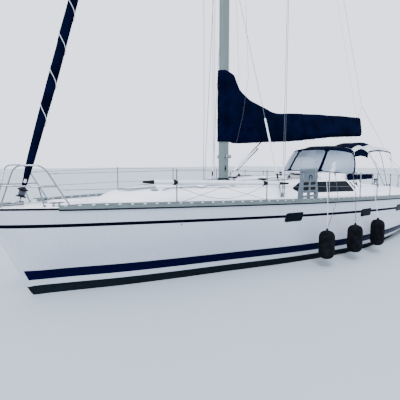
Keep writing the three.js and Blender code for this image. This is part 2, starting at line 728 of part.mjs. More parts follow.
// Fenders on the port side, each on its pendant from the lifeline
const fenders = [
  // name, x, height of its top, length, radius
  ['fender_fore', 6015, 800, 610, 165],
  ['fender_middle', 7010, 825, 630, 165],
  ['fender_aft', 8035, 850, 640, 160],
];
for (const [name, x, top, length, radius] of fenders) {
  const y = -deckHalf(x) - radius - 12;
  const dome = [[0.45, 12], [0.8, 50], [0.96, 105], [1, 160]];
  const profile = [
    [0, 0], ...dome.map(([share, rise]) => [radius * share, rise]),
    ...dome.toReversed().map(([share, rise]) => [radius * share, length - rise]),
    [24, length], [24, length + 45], [0, length + 45],
  ];
  const body = turned(profile, 16, point(x, y, top - length), point(0, 0, 1));
  const line = onLifeline(x, lifelineHeight - 12, -1);
  const pendant = tube([
    point(x, y, top + 30), point(x, -deckHalf(x) - 26, sheer(x) + deckEdge + 60), point(x, line.y - 13, line.z + 9),
  ], 6);
  const loop = block(x - 8, x + 8, line.y - 18, line.y + 8, line.z + 4 + gap, line.z + 14);
  piece(name, join(body, pendant, loop), 'fenderCloth');
}

// Canvas: dodger over the companionway and bimini over the helm
const dodgerSections = [
  // x of the foot and of the top, share of that lean at the side, heights, half-width
  { foot: 7950, top: 8420, lean: 0.7, low: 1800, shoulder: 2480, crown: 2560, half: 640 },
  { foot: 8080, top: 8500, lean: 0.7, low: 1800, shoulder: 2490, crown: 2600, half: 820 },
  { foot: 8340, top: 8660, lean: 0.5, low: 1795, shoulder: 2490, crown: 2635, half: 1020 },
  { foot: 8770, top: 9020, lean: 0.15, low: 1790, shoulder: 2480, crown: 2665, half: 1110 },
];
function dodgerArch({ foot, top, lean, low, shoulder, crown, half }, inset) {
  const side = [
    point(foot, half - inset, low),
    point(foot + (top - foot) * lean, half - 40 - inset, low + (shoulder - low) * 0.7),
    point(top, half * 0.82 - inset, shoulder - inset),
    point(top, half * 0.4, crown - 15 - inset),
  ];
  return [...side, point(top, 0, crown - inset), ...mirrored(side).toReversed()];
}
function dodgerBody() {
  const outer = loft(dodgerSections.map((section) => dodgerArch(section, 0)));
  const [front, ...others] = dodgerSections;
  const rear = others.at(-1);
  const inner = loft([
    { ...front, foot: front.foot + 40, top: front.top + 25 }, ...others,
    { ...rear, foot: rear.foot + 200, top: rear.top + 200 },
  ].map((section) => dodgerArch({ ...section, low: section.low - 60 }, 22)));
  return cut(outer, inner);
}
const hatchSweep = block(
  slide.start - slide.travel - 40, 9000, -slide.half - 60, slide.half + 60, 1700, slide.top + slide.lid + 12,
);
piece('dodger', cut(seated(dodgerBody()), hatchSweep), 'canvas');

const biminiBows = [
  // x of the foot, x of the top, height of the top at the side and at the crown
  [10400, 9850, 2570, 2700],
  [10560, 10480, 2630, 2830],
  [10720, 11200, 2580, 2705],
];
const biminiHalf = 900;
function biminiFrame() {
  const bows = biminiBows.map(([foot, top, side, crown]) => {
    const arch = [
      point(foot, 1150, 1500), point(top, biminiHalf, side - 60), point(top, biminiHalf - 160, side + 30),
      point(top, 380, crown - 26), point(top, 0, crown - 14),
    ];
    return tube([...arch, ...mirrored(arch.slice(0, -1)).toReversed()], 11);
  });
  const track = [[10350, 1390], [10350, 1520], [10780, 1520], [10780, 1390]];
  const feet = sides.map(([, sign]) => offCentre(track, sign, 1130, 1170));
  return join(bows, feet);
}
const frame = biminiFrame();
piece('bimini_frame', seated(frame), 'stainless');
function biminiTop() {
  const arch = (x, side, crown, thick) => {
    const half = [
      [biminiHalf + 18, side - 60], [biminiHalf - 150, side + 46], [380, crown - 8], [0, crown + 4],
    ];
    const outer = half.map(([y, z]) => point(x, y, z));
    const inner = half.map(([y, z]) => point(x, Math.max(0, y - 8), z - thick));
    return [
      ...outer, ...mirrored(outer.slice(0, -1)).toReversed(),
      ...mirrored(inner.slice(0, -1)), inner.at(-1), ...inner.slice(0, -1).toReversed(),
    ];
  };
  return loft([
    arch(biminiBows[0][1] - 20, biminiBows[0][2], biminiBows[0][3], 6),
    arch(biminiBows[1][1], biminiBows[1][2], biminiBows[1][3], 6),
    arch(biminiBows[2][1] + 20, biminiBows[2][2], biminiBows[2][3], 6),
  ]);
}
const frameNudges = [[0, 0, gap], [0, gap, 0], [0, -gap, 0]].map((nudge) => frame.translate(nudge));
piece('bimini_top', cut(biminiTop(), frame, frameNudges), 'canvas');

// Mast with its spreaders, masthead and gooseneck bracket

function mastRing(z, scale) {
  const ring = [];
  for (let i = 0; i < 16; i++) {
    const angle = (i * Math.PI) / 8;
    const bow = Math.cos(angle);
    ring.push(point(
      mastX + (mastLength / 2) * scale * Math.sign(bow) * Math.abs(bow) ** 0.9,
      (mastWidth / 2) * scale * Math.sin(angle), z,
    ));
  }
  return ring;
}

const spreaders = [
  // height, tip x, tip y
  { height: 6900, tipX: 5640, tipY: 1200 },
  { height: 12000, tipX: 5430, tipY: 860 },
];
function spreaderPair({ height, tipX, tipY }) {
  const section = (x, y, chord, thick) => [
    [-2, 0], [-1, 1], [1, 1], [2, 0], [1, -1], [-1, -1],
  ].map(([along, up]) => point(x + (along * chord) / 4, y, height + (up * thick) / 2));
  return [-1, 1].map((sign) => loft([
    section(mastX + 20, 0, 150, 44), section(tipX, sign * tipY, 70, 26),
  ]));
}
const boomZ = (x) => boomHeight + boomRise * (x - gooseneckX);
// The gooseneck's upright axis, shared by the vang's lower pin
const onGooseneck = (z) => point(gooseneckX, 0, z);
function mastBody() {
  const extrusion = loft([
    mastRing(mastFoot, 1), mastRing(14500, 1), mastRing(mastTop, 0.62),
  ]);
  const crane = sidePlate([
    [mastX - 120, mastTop - 60], [mastX - 120, mastTop], [5320, mastTop], [5320, mastTop - 40],
    [5230, mastTop - 40], [mastX, mastTop - 120],
  ], -22, 22);
  const bracket = [boomHeight - 62, boomHeight + 40]
    .map((z) => block(mastX + 60, gooseneckX + 26, -26, 26, z, z + 22));
  const pin = rod(onGooseneck(boomHeight - 75), onGooseneck(boomHeight + 75), 10, 16);
  const vangBracket = [1908, 1975].map((z) => block(mastX + 60, gooseneckX + 12, -20, 20, z, z + 10));
  const vangPin = rod(onGooseneck(1900), onGooseneck(1995), 8, 12);
  return join(extrusion, crane, bracket, pin, vangBracket, vangPin, spreaders.flatMap(spreaderPair));
}
const mast = piece('mast', seated(mastBody()), 'mastAluminium');

// Boom with its stowed sail under the cover, and the vang beneath it

function boomRing(x, grow = 0) {
  const z = boomZ(x);
  return [[-60, 80], [-45, 100], [45, 100], [60, 80], [60, -80], [45, -100], [-45, -100], [-60, -80]]
    .map(([y, rise]) => point(x, y + Math.sign(y) * grow, z + rise + Math.sign(rise) * grow));
}
const boomStart = gooseneckX + 75;
function boomBody() {
  const spar = loft([boomRing(boomStart), boomRing(boomEnd)]);
  const lug = block(gooseneckX - 22, boomStart + 30, -22, 22, boomHeight - 38, boomHeight + 38);
  return cut(join(spar, lug), rod(onGooseneck(boomHeight - 90), onGooseneck(boomHeight + 90), 11.5, 16));
}
const boom = piece('boom', boomBody(), 'mastAluminium');

const coverSections = [
  // x, bottom, top, half-width low down, half-width at the top
  [5275, 2680, 4180, 120, 60],
  [5420, 2670, 3980, 150, 75],
  [5820, 2690, 3760, 185, 85],
  [6240, 2720, 3570, 195, 90],
  [6700, 2745, 3450, 195, 85],
  [7770, 2810, 3500, 185, 75],
  [9210, 2950, 3590, 165, 65],
  [10880, 3050, 3650, 110, 50],
];
function coverRing([x, bottom, top, low, high]) {
  const rise = top - bottom;
  const side = [
    [0.55 * low, bottom], [low, bottom + 0.22 * rise], [0.5 * (low + high), bottom + 0.62 * rise],
    [high, bottom + 0.93 * rise],
  ].map(([y, z]) => point(x, y, z));
  return [...side, point(x, 0, top), ...mirrored(side).toReversed()];
}
function sailCover() {
  const channel = loft([boomRing(gooseneckX - 100, gap), boomRing(boomEnd + 200, gap)]);
  const vangGap = block(6150, 6430, -45, 45, 2500, boomZ(6300));
  return cut(loft(coverSections.map(coverRing)), channel, vangGap);
}
piece('sail_cover', sailCover(), 'canvas');

function mastCover() {
  const ring = (z, grow) => mastRing(z, 1).map((corner) => point(
    mastX + (corner.x - mastX) * (1 + (2 * grow) / mastLength), corner.y * (1 + (2 * grow) / mastWidth), corner.z,
  ));
  const sleeve = loft([ring(2690, 30), ring(3300, 34), ring(4280, 26)]);
  const core = loft([ring(2500, gap), ring(4600, gap)]);
  const gooseneckGap = block(mastX + 60, gooseneckX + 200, -60, 60, 2600, boomHeight + 130);
  return cut(sleeve, core, gooseneckGap);
}
piece('mast_cover', mastCover(), 'canvas');

function vangBody() {
  const low = onGooseneck(1935);
  const high = point(6330, 0, boomZ(6330) - 130);
  const along = (share) => low.clone().lerp(high, share);
  const eye = rod(onGooseneck(1920), onGooseneck(1965), 19, 12);
  const tongue = rod(low, along(0.12), 10, 8);
  const barrel = rod(along(0.09), along(0.58), 28, 10);
  const piston = rod(along(0.5), high, 17, 10);
  const head = block(6290, 6390, -14, 14, boomZ(6340) - 150, boomZ(6340) - 100);
  const bore = rod(onGooseneck(1800), onGooseneck(2050), 9, 12);
  return cut(join(eye, tongue, barrel, piston, head), bore, boom, boom.translate([0, 0, -gap]));
}
piece('vang', vangBody(), 'mastAluminium');

// Forestay with the furled genoa

const stay = stayHead.clone().sub(stayFoot);
const stayDirection = stay.clone().normalize();
const onStay = (along) => stayFoot.clone().addScaledVector(stayDirection, along);
const stayBody = join(
  rod(stayFoot, stayHead, 5, 8),
  rod(stayFoot, onStay(40), 14, 8),
  rod(onStay(20), onStay(240), 12.2, 20),
);
piece('forestay', cut(stayBody, mast, mast.translate([-gap, 0, 0])), 'stainless');

const furler = { foot: 60, drumTop: 225, sailFoot: 225.3, sailHead: 14000, bore: 13 };
piece('furler_drum', turned([
  [furler.bore, furler.foot], [84, furler.foot], [84, furler.foot + 14], [52, furler.foot + 30],
  [52, furler.drumTop - 60], [84, furler.drumTop - 44], [84, furler.drumTop - 30], [40, furler.drumTop],
  [furler.bore, furler.drumTop], [furler.bore, furler.foot],
], 20, stayFoot, stayDirection), 'greyPlastic');
piece('furled_genoa', turned([
  [furler.bore, furler.sailFoot], [45, furler.sailFoot], [66, 700], [84, 2200], [84, 5200], [74, 9000],
  [56, 12500], [36, furler.sailHead], [furler.bore, furler.sailHead], [furler.bore, furler.sailFoot],
], 14, stayFoot, stayDirection), 'canvas');

// Shrouds on each side, from the chainplate to the spreaders and the mast

for (const [name, sign] of sides) {
  const at = (x, y, z) => point(x, sign * y, z);
  const foot = at(chainplate.x, chainplate.y, chainplate.z);
  const lowerFoot = at(chainplate.x - 60, chainplate.y, chainplate.z);
  const plate = offCentre(
    [[5590, 1425], [5590, 1500], [5610, 1545], [5690, 1545], [5720, 1500], [5720, 1425]], sign, 1195, 1205,
  );
  const tips = spreaders.map(({ height, tipX, tipY }) => at(tipX, tipY + 20, height));
  const hounder = at(mastX + 30, 92, hounds);
  const cap = [foot, ...tips, hounder];
  const lower = [lowerFoot, at(mastX + 60, 92, 6780)];
  const wires = [cap, lower].flatMap((corners) => corners.slice(1).map((corner, i) => rod(corners[i], corner, 5, 6)));
  const wireBalls = tips.map((tip) => ball(tip, 9, 6));
  const lift = (start, end, from, to, radius) => {
    const direction = end.clone().sub(start).normalize();
    return rod(start.clone().addScaledVector(direction, from), start.clone().addScaledVector(direction, to), radius, 8);
  };
  const screws = [lift(foot, tips[0], 0, 330, 13), lift(lowerFoot, lower[1], 0, 330, 13)];
  const covers = [lift(lowerFoot, lower[1], 430, 1700, 19)];
  piece(`shrouds_${name}`, cut(
    seated(join(plate, wires, wireBalls, screws, covers)), mast, mast.translate([0, sign * gap, 0]),
  ), 'stainless');
}

// Split backstay
const backstaySplit = point(11008, 0, 4000);
function backstayBody() {
  const toggle = block(5280, 5310, -7, 7, mastTop - 110, mastTop - 40 - gap);
  const upper = rod(point(5295, 0, mastTop - 80), backstaySplit, 4.5, 6);
  const legs = [-1, 1].map((sign) => rod(backstaySplit, point(11690, sign * 1330, sheer(11690) + 15), 4.5, 6));
  return join(toggle, upper, legs, ball(backstaySplit, 30, 8));
}
piece('backstay', seated(backstayBody()), 'stainless');

yacht.position.x = -midLength;
export default yacht;
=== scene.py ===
import functools
import math

import bmesh
import bpy
import numpy as np
from mathutils import Matrix, Vector, noise
from mathutils.bvhtree import BVHTree


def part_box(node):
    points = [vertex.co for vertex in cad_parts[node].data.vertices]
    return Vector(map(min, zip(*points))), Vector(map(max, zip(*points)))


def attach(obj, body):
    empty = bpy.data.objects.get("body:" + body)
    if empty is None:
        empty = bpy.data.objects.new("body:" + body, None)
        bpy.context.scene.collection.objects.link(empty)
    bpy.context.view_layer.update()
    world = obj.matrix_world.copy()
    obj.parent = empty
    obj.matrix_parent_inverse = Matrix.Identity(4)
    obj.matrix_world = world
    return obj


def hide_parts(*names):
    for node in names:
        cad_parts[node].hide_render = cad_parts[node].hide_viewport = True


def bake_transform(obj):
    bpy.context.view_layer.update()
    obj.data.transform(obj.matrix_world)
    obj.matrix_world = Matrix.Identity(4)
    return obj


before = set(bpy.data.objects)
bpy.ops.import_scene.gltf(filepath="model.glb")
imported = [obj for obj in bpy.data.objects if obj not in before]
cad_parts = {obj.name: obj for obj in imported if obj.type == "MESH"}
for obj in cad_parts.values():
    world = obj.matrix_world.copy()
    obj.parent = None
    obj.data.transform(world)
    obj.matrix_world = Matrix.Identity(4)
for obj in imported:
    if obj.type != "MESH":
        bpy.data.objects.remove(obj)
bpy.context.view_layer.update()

# The creases in the cloth are the same in each run
noise.seed_set(7)

# A cruising sloop afloat, in metres. Lengths along the yacht run aft from the stem head, as a boatbuilder
# takes them, and place() turns them into the frame. Heights are above the waterline.
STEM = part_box("hull")[0].x
PORT, STARBOARD = -1, 1
SIDES = {"port": PORT, "starboard": STARBOARD}

SHEER_AT_STEM, SHEER_SLOPE, SHEER_CURVE = 1.508, -0.00975, -0.001736
DECK_EDGE, DECK_CAMBER, DECK_END = 0.025, 0.03, 11.75
HULL_END, STEP_HEIGHT, STEP_HALF, STEP_START = 12.2, 0.38, 0.9, 11.5
MAST, MAST_FOOT, MAST_TOP = 4.971, 1.768, 17.3
MAST_LENGTH, MAST_WIDTH, HOUNDS = 0.266, 0.176, 16.1
GOOSENECK, BOOM_HEIGHT, BOOM_RISE, BOOM_END = 5.19, 2.87, 0.052, 10.85
COMPANIONWAY, COCKPIT_END, SEAT, SOLE = 8.9, 11.49, 1.12, 0.72
HULL_SKIN, SEAT_HALF, WELL_HALF, ROOF_START, RAIL_START = 0.05, 1.02, 0.46, 1.86, 1.0
STANCHIONS = [2.85, 4.65, 6.37, 7.6, 8.44, 9.23]
STANCHION_INBOARD, LIFELINE = 0.075, 0.6
# Cabin window and hull ports, in distance aft and height
WINDOW = [(6.06, 1.625), (6.35, 1.752), (8.33, 1.716), (8.63, 1.445), (6.28, 1.52)]
HULL_PORTS = [(5.13, 5.58, 1.01, 1.195), (7.61, 8.06, 0.93, 1.105), (9.62, 10.07, 0.89, 1.06)]
HATCHES = {
    "anchor": {"hinge": 1.64, "length": -0.54, "half": 0.23, "frame": 0.008, "lid": 0.018},
    "fore": {"hinge": 2.38, "length": 0.62, "half": 0.27, "frame": 0.016, "lid": 0.02},
    "saloon": {"hinge": 3.56, "length": 0.62, "half": 0.3, "frame": 0.018, "lid": 0.022},
}

# Distance aft, height of the bottom, height of the low waterline, half-breadth there, half-breadth at the deck
HULL_LINES = np.array([
    [0.0, 1.47, 1.49, 0.008, 0.016],
    [0.15, 1.18, 1.27, 0.055, 0.15],
    [0.4, 0.64, 0.83, 0.07, 0.3],
    [0.7, 0.0, 0.3, 0.045, 0.46],
    [1.2, -0.26, 0.3, 0.215, 0.69],
    [2.0, -0.4, 0.3, 0.519, 0.971],
    [3.0, -0.48, 0.3, 0.82, 1.294],
    [4.0, -0.53, 0.3, 1.078, 1.572],
    [6.0, -0.56, 0.3, 1.594, 1.933],
    [8.0, -0.48, 0.3, 1.863, 2.003],
    [10.0, -0.26, 0.3, 1.717, 1.873],
    [11.4, -0.02, 0.3, 1.45, 1.69],
    [12.2, 0.12, 0.3, 1.28, 1.562],
])
# Distance aft, half-width of the coachroof at its foot, height of its shoulder, height of its crown
ROOF_LINES = np.array([
    [1.86, 0.12, 1.5, 1.505],
    [2.0, 0.33, 1.56, 1.58],
    [2.25, 0.54, 1.625, 1.665],
    [2.9, 0.82, 1.66, 1.72],
    [3.6, 1.0, 1.69, 1.75],
    [5.0, 1.12, 1.71, 1.766],
    [6.3, 1.21, 1.8, 1.85],
    [7.6, 1.22, 1.785, 1.84],
    [8.9, 1.21, 1.765, 1.82],
])


def place(aft, y, z):
    return Vector((STEM + aft, y, z))


def faired(lines, aft):
    """A row of the lines at any distance aft, bent as a batten: its slope at a station is the mean of both spans'."""
    heads = lines[:, 0]
    i = int(np.clip(np.searchsorted(heads, aft, side="right"), 1, len(lines) - 1))
    slopes = np.diff(lines[:, 1:], axis=0) / np.diff(heads)[:, None]
    start = (slopes[max(i - 2, 0)] + slopes[i - 1]) / 2
    end = (slopes[i - 1] + slopes[min(i, len(slopes) - 1)]) / 2
    run = heads[i] - heads[i - 1]
    t = (aft - heads[i - 1]) / run
    low, high = lines[i - 1, 1:], lines[i, 1:]
    return (low * (2 * t**3 - 3 * t**2 + 1) + high * (3 * t**2 - 2 * t**3)
            + run * start * (t**3 - 2 * t**2 + t) + run * end * (t**3 - t**2))


def sheer(aft):
    return SHEER_AT_STEM + SHEER_SLOPE * aft + SHEER_CURVE * aft * aft


def deck_half(aft):
    return faired(HULL_LINES, aft)[3]


def deck_top(aft, y):
    half = deck_half(aft)
    return sheer(aft) + DECK_EDGE + DECK_CAMBER * half * (1 - (y / half) ** 2)


def curve(points, count):
    """count + 1 points on a smooth curve through the given ones."""
    points = [np.array(p, float) for p in points]
    padded = [points[0], *points, points[-1]]
    found = []
    for i in range(count + 1):
        along = i / count * (len(points) - 1)
        k = min(int(along), len(points) - 2)
        t = along - k
        before, a, b, after = padded[k:k + 4]
        start, end = (b - before) / 2, (after - a) / 2
        found.append(a * (2 * t**3 - 3 * t**2 + 1) + b * (3 * t**2 - 2 * t**3)
                     + start * (t**3 - 2 * t**2 + t) + end * (t**3 - t**2))
    return found


def rounded(corners, radius, steps=4, closed=False):
    """A line through corners, with each inner corner eased by a curve that starts a radius from it."""
    corners = [Vector(c) for c in corners]
    count = len(corners)
    found = [] if closed else [corners[0]]
    for i in range(0 if closed else 1, count if closed else count - 1):
        corner = corners[i]
        before, after = corners[i - 1] - corner, corners[(i + 1) % count] - corner
        reach = min(radius, before.length * 0.48, after.length * 0.48)
        start, end = corner + before.normalized() * reach, corner + after.normalized() * reach
        for k in range(steps + 1):
            t = k / steps
            found.append(start * (1 - t) ** 2 + corner * 2 * t * (1 - t) + end * t * t)
    return found if closed else [*found, corners[-1]]


def mirror_y(points):
    return [Vector((p[0], -p[1], p[2])) for p in points]


# Camera, at the eye that took the picture: a 33 mm lens on full frame, held at head height on the pontoon
EYE, LENS, HEADING, TILT = Vector((-6.885, -6.508, 2.239)), 33.26, 0.661, -0.104


def set_camera():
    camera = bpy.data.objects.new("eye", bpy.data.cameras.new("eye"))
    camera.data.lens = LENS
    camera.data.sensor_width = 36
    camera.data.clip_end = 500
    camera.location = EYE
    look = Vector((math.sin(HEADING) * math.cos(TILT), math.cos(HEADING) * math.cos(TILT), math.sin(TILT)))
    camera.rotation_mode = "QUATERNION"
    camera.rotation_quaternion = look.to_track_quat("-Z", "Y")
    bpy.context.scene.collection.objects.link(camera)
    bpy.context.scene.camera = camera


set_camera()


# Shader building


def colour(code):
    """The linear colour of an sRGB hex value such as c9ced8."""
    parts = [int(code[i:i + 2], 16) / 255 for i in (0, 2, 4)]
    return (*[c / 12.92 if c <= 0.04045 else ((c + 0.055) / 1.055) ** 2.4 for c in parts], 1.0)


def feed(tree, item, values):
    """Gives inputs of a node a value each: a number, a hex colour, or another node's output to link."""
    for socket, value in values.items():
        if isinstance(value, bpy.types.NodeSocket):
            tree.links.new(value, item.inputs[socket])
        else:
            item.inputs[socket].default_value = colour(value) if isinstance(value, str) else value


def add(tree, kind, *values, out=None, **settings):
    """Adds a shader node with its settings and links, and returns its first output or the one that is named.
    The inputs are given in their order, or in a dict by name."""
    item = tree.nodes.new("ShaderNode" + kind)
    for name, value in settings.items():
        setattr(item, name, value)
    by_name = bool(values) and isinstance(values[0], dict)
    order = [i for i, socket in enumerate(item.inputs) if socket.enabled]
    feed(tree, item, values[0] if by_name else dict(zip(order, values)))
    return item.outputs[out] if out else next(socket for socket in item.outputs if socket.enabled)


def blank(name, code, roughness, metallic=0.0, **sockets):
    """A material with its base colour and gloss set, its node tree and its shader."""
    made = bpy.data.materials.new(name)
    made.use_nodes = True
    shader = made.node_tree.nodes["Principled BSDF"]
    feed(made.node_tree, shader, {"Base Color": code, "Roughness": roughness, "Metallic": metallic,
                                  **sockets})
    made.diffuse_color = colour(code)
    return made, made.node_tree, shader


def spots(tree, size_mm, detail=3.0, stretch=(1, 1, 1)):
    """Noise whose blotches are about size_mm across, from 0 to 1."""
    at = add(tree, "Mapping", {"Vector": add(tree, "TexCoord", out="Object"), "Scale": stretch})
    return add(tree, "TexNoise", {"Vector": at, "Scale": 1000 / size_mm, "Detail": detail})


def raised(tree, shader, height, depth_mm, **before):
    """Bumps the surface by a height from 0 to 1, which stands for depth_mm, on top of the bumps before it."""
    bump = add(tree, "Bump", {"Height": height, "Distance": depth_mm / 1000, "Strength": 1.0, **before})
    feed(tree, shader, {"Normal": bump})
    return bump


# Stripes painted on the topsides: heights above the water, and the cove stripe's depth below the sheer
ANTIFOULING_TOP, BOOT_LOW, BOOT_HIGH = 0.158, 0.26, 0.438
COVE_BELOW, COVE_WIDTH = 0.25, 0.06
BOOT_FRONT, BOOT_RAKE = 0.64, 0.44
STRIPE_EDGE = 0.0015


def band(tree, value, low, high):
    """1 where a value lies between two heights and 0 elsewhere, with an edge as sharp as masking tape leaves."""
    rise = add(tree, "MapRange", value, low - STRIPE_EDGE, low + STRIPE_EDGE)
    fall = add(tree, "MapRange", value, high + STRIPE_EDGE, high - STRIPE_EDGE)
    return add(tree, "Math", rise, fall, operation="MULTIPLY")


def painted_hull():
    """Polyester gelcoat from a mould, polished. It gives the eye a soft cool white with long faint reflections,
    a navy boot stripe and cove stripe, matt copper antifouling below and a little rain streaking."""
    made, tree, shader = blank("moulded_gelcoat_topsides", "b8bfc9", 0.22)
    position = add(tree, "TexCoord", out="Object")
    height = add(tree, "SeparateXYZ", position, out="Z")
    along = add(tree, "Math", add(tree, "SeparateXYZ", position, out="X"), STEM, operation="SUBTRACT")
    squared = add(tree, "Math", along, along, operation="MULTIPLY")
    fall = add(tree, "Math", squared, SHEER_CURVE, SHEER_AT_STEM, operation="MULTIPLY_ADD")
    gunwale = add(tree, "Math", along, SHEER_SLOPE, fall, operation="MULTIPLY_ADD")
    below = add(tree, "Math", gunwale, height, operation="SUBTRACT")
    cove = band(tree, below, COVE_BELOW, COVE_BELOW + COVE_WIDTH)
    rake = add(tree, "Math", height, BOOT_RAKE, along, operation="MULTIPLY_ADD")
    front = BOOT_FRONT + BOOT_RAKE * BOOT_LOW
    behind = add(tree, "MapRange", rake, front - STRIPE_EDGE, front + STRIPE_EDGE)
    boot = add(tree, "Math", band(tree, height, BOOT_LOW, BOOT_HIGH), behind, operation="MULTIPLY")
    bottom = add(tree, "MapRange", height, ANTIFOULING_TOP + STRIPE_EDGE, ANTIFOULING_TOP - STRIPE_EDGE)
    streak = spots(tree, 60, 4, stretch=(1, 1, 0.08))
    dull = add(tree, "Mix", streak, "b4bcc8", "bfc6cf", data_type="RGBA")
    bright = add(tree, "Mix", streak, "b8bfc9", "c4c9d1", data_type="RGBA")
    white = add(tree, "Mix", spots(tree, 900), dull, bright, data_type="RGBA")
    # The white is greyed towards the waterline, from 0.55 m down to 0.2 m above it.
    darker_low_down = add(tree, "MapRange", height, 0.55, 0.2, 0, 0.35)
    white = add(tree, "Mix", darker_low_down, white, "a9b2b6", data_type="RGBA")
    navy = add(tree, "Mix", streak, "02031f", "050628", data_type="RGBA")
    coppery = add(tree, "Mix", spots(tree, 120, 6), "0b1015", "161c21", data_type="RGBA")
    striped = add(tree, "Mix", cove, white, "03040f", data_type="RGBA")
    striped = add(tree, "Mix", boot, striped, navy, data_type="RGBA")
    gloss = add(tree, "Math", streak, 0.12, 0.16, operation="MULTIPLY_ADD")
    matt = add(tree, "Math", bottom, 0.8, operation="MULTIPLY")
    stripes = add(tree, "Math", boot, cove, operation="MAXIMUM")
    dark = add(tree, "Math", bottom, stripes, operation="MAXIMUM")
    feed(tree, shader, {
        "Base Color": add(tree, "Mix", bottom, striped, coppery, data_type="RGBA"),
        "Roughness": add(tree, "Math", gloss, matt, operation="MAXIMUM"),
        "Specular IOR Level": add(tree, "MapRange", dark, 0, 1, 0.5, 0.015),
    })
    waves = add(tree, "Math", spots(tree, 9, 2), bottom, spots(tree, 420, 1), operation="MULTIPLY_ADD")
    raised(tree, shader, waves, 0.6)
    return made


def deck_gelcoat():
    """White deck gelcoat with moulded non-skid: glossy waterways and edges, and matt pads of a fine diamond grain
    with a grey bloom. The piece's grip attribute is the distance in metres inside the edge of a pad."""
    made, tree, shader = blank("moulded_gelcoat_deck", "e8ebf0", 0.28, **{"Coat Weight": 0.2})
    pad_length, pad_break, diamonds_a_metre = 1.15, 0.03, 110
    position = add(tree, "TexCoord", out="Object")
    along = add(tree, "SeparateXYZ", position, out="X")
    joint = add(tree, "Math", along, pad_length / 2, operation="PINGPONG")
    joint = add(tree, "Math", joint, pad_break, operation="SUBTRACT")
    grip = add(tree, "Attribute", out="Fac", attribute_name="grip")
    pad = add(tree, "MapRange", add(tree, "Math", grip, joint, operation="MINIMUM"), 0.0, 0.004)
    turned_axes = add(tree, "Mapping", {"Vector": position, "Rotation": (0, 0, math.pi / 4)})
    grain = add(tree, "TexChecker", {"Vector": turned_axes, "Scale": diamonds_a_metre}, out="Fac")
    dirt = spots(tree, 260, 5)
    white = add(tree, "Mix", dirt, "e3e7ed", "f0f2f5", data_type="RGBA")
    # The grain's grooves are coloured darker than its raised diamonds: painted shade in the hollows of the non-skid.
    groove_shade = add(tree, "Mix", dirt, "cdd3da", "dbe0e6", data_type="RGBA")
    diamond = add(tree, "Mix", dirt, "d9dee4", "e6e9ee", data_type="RGBA")
    grey = add(tree, "Mix", grain, groove_shade, diamond, data_type="RGBA")
    feed(tree, shader, {
        "Base Color": add(tree, "Mix", pad, white, grey, data_type="RGBA"),
        "Roughness": add(tree, "MapRange", pad, 0, 1, 0.25, 0.62),
    })
    relief = add(tree, "Math", grain, 0.5, 0.5, operation="MULTIPLY_ADD")
    raised(tree, shader, add(tree, "Math", relief, pad, operation="MULTIPLY"), 0.9)
    return made


def anodised(name, code):
    """Extruded aluminium, anodised: a satin grey with fine die lines along its length and chalky patches."""
    made, tree, shader = blank(name, code, 0.42, 0.75)
    lines = spots(tree, 3, 3, stretch=(0.03, 1, 1))
    chalk = add(tree, "MapRange", spots(tree, 180, 5), 0.3, 0.7, 0.86, 1.12)
    feed(tree, shader, {
        "Base Color": add(tree, "HueSaturation", {"Color": code, "Value": chalk}),
        "Roughness": add(tree, "MapRange", lines, 0.2, 0.8, 0.34, 0.52),
    })
    raised(tree, shader, lines, 0.12)
    return made


def spar_paint(name, code):
    """Two-part enamel on a spar: an even satin grey-green that chalks a little down its length."""
    made, tree, shader = blank(name, code, 0.34, 0.25, **{"Coat Weight": 0.25})
    chalk = spots(tree, 90, 5, stretch=(1, 1, 0.15))
    shade = add(tree, "MapRange", chalk, 0.3, 0.7, 0.93, 1.06)
    feed(tree, shader, {
        "Base Color": add(tree, "HueSaturation", {"Color": code, "Value": shade}),
        "Roughness": add(tree, "MapRange", chalk, 0.3, 0.7, 0.3, 0.45),
    })
    raised(tree, shader, spots(tree, 6, 3, stretch=(1, 1, 0.05)), 0.08)
    return made


def stainless_steel():
    """Stainless tube and bar, polished: bright with a dark far side, and a faint tea stain in places."""
    made, tree, shader = blank("polished_stainless", "858b90", 0.18, 1.0)
    stain = add(tree, "MapRange", spots(tree, 45, 4), 0.56, 0.74)
    feed(tree, shader, {
        "Base Color": add(tree, "Mix", stain, "8b9196", "7d7367", data_type="RGBA"),
        "Roughness": add(tree, "MapRange", stain, 0, 1, 0.14, 0.4),
    })
    raised(tree, shader, spots(tree, 4, 2), 0.02)
    return made


def wire_rope():
    """1x19 stainless wire: fine strands laid in a long spiral, which soften its glint."""
    made, tree, shader = blank("laid_stainless_wire", "b9bdc0", 0.3, 1.0)
    lay = add(tree, "Mapping", {"Vector": add(tree, "TexCoord", out="UV"), "Rotation": (0, 0, 0.45)})
    strands = add(tree, "TexWave", {"Vector": lay, "Scale": 55, "Distortion": 0.0}, out="Fac")
    # The strands are coloured darker in the grooves between them: painted shade.
    feed(tree, shader, {"Base Color": add(tree, "Mix", strands, "3d444b", "6d747b", data_type="RGBA")})
    raised(tree, shader, strands, 0.5)
    return made


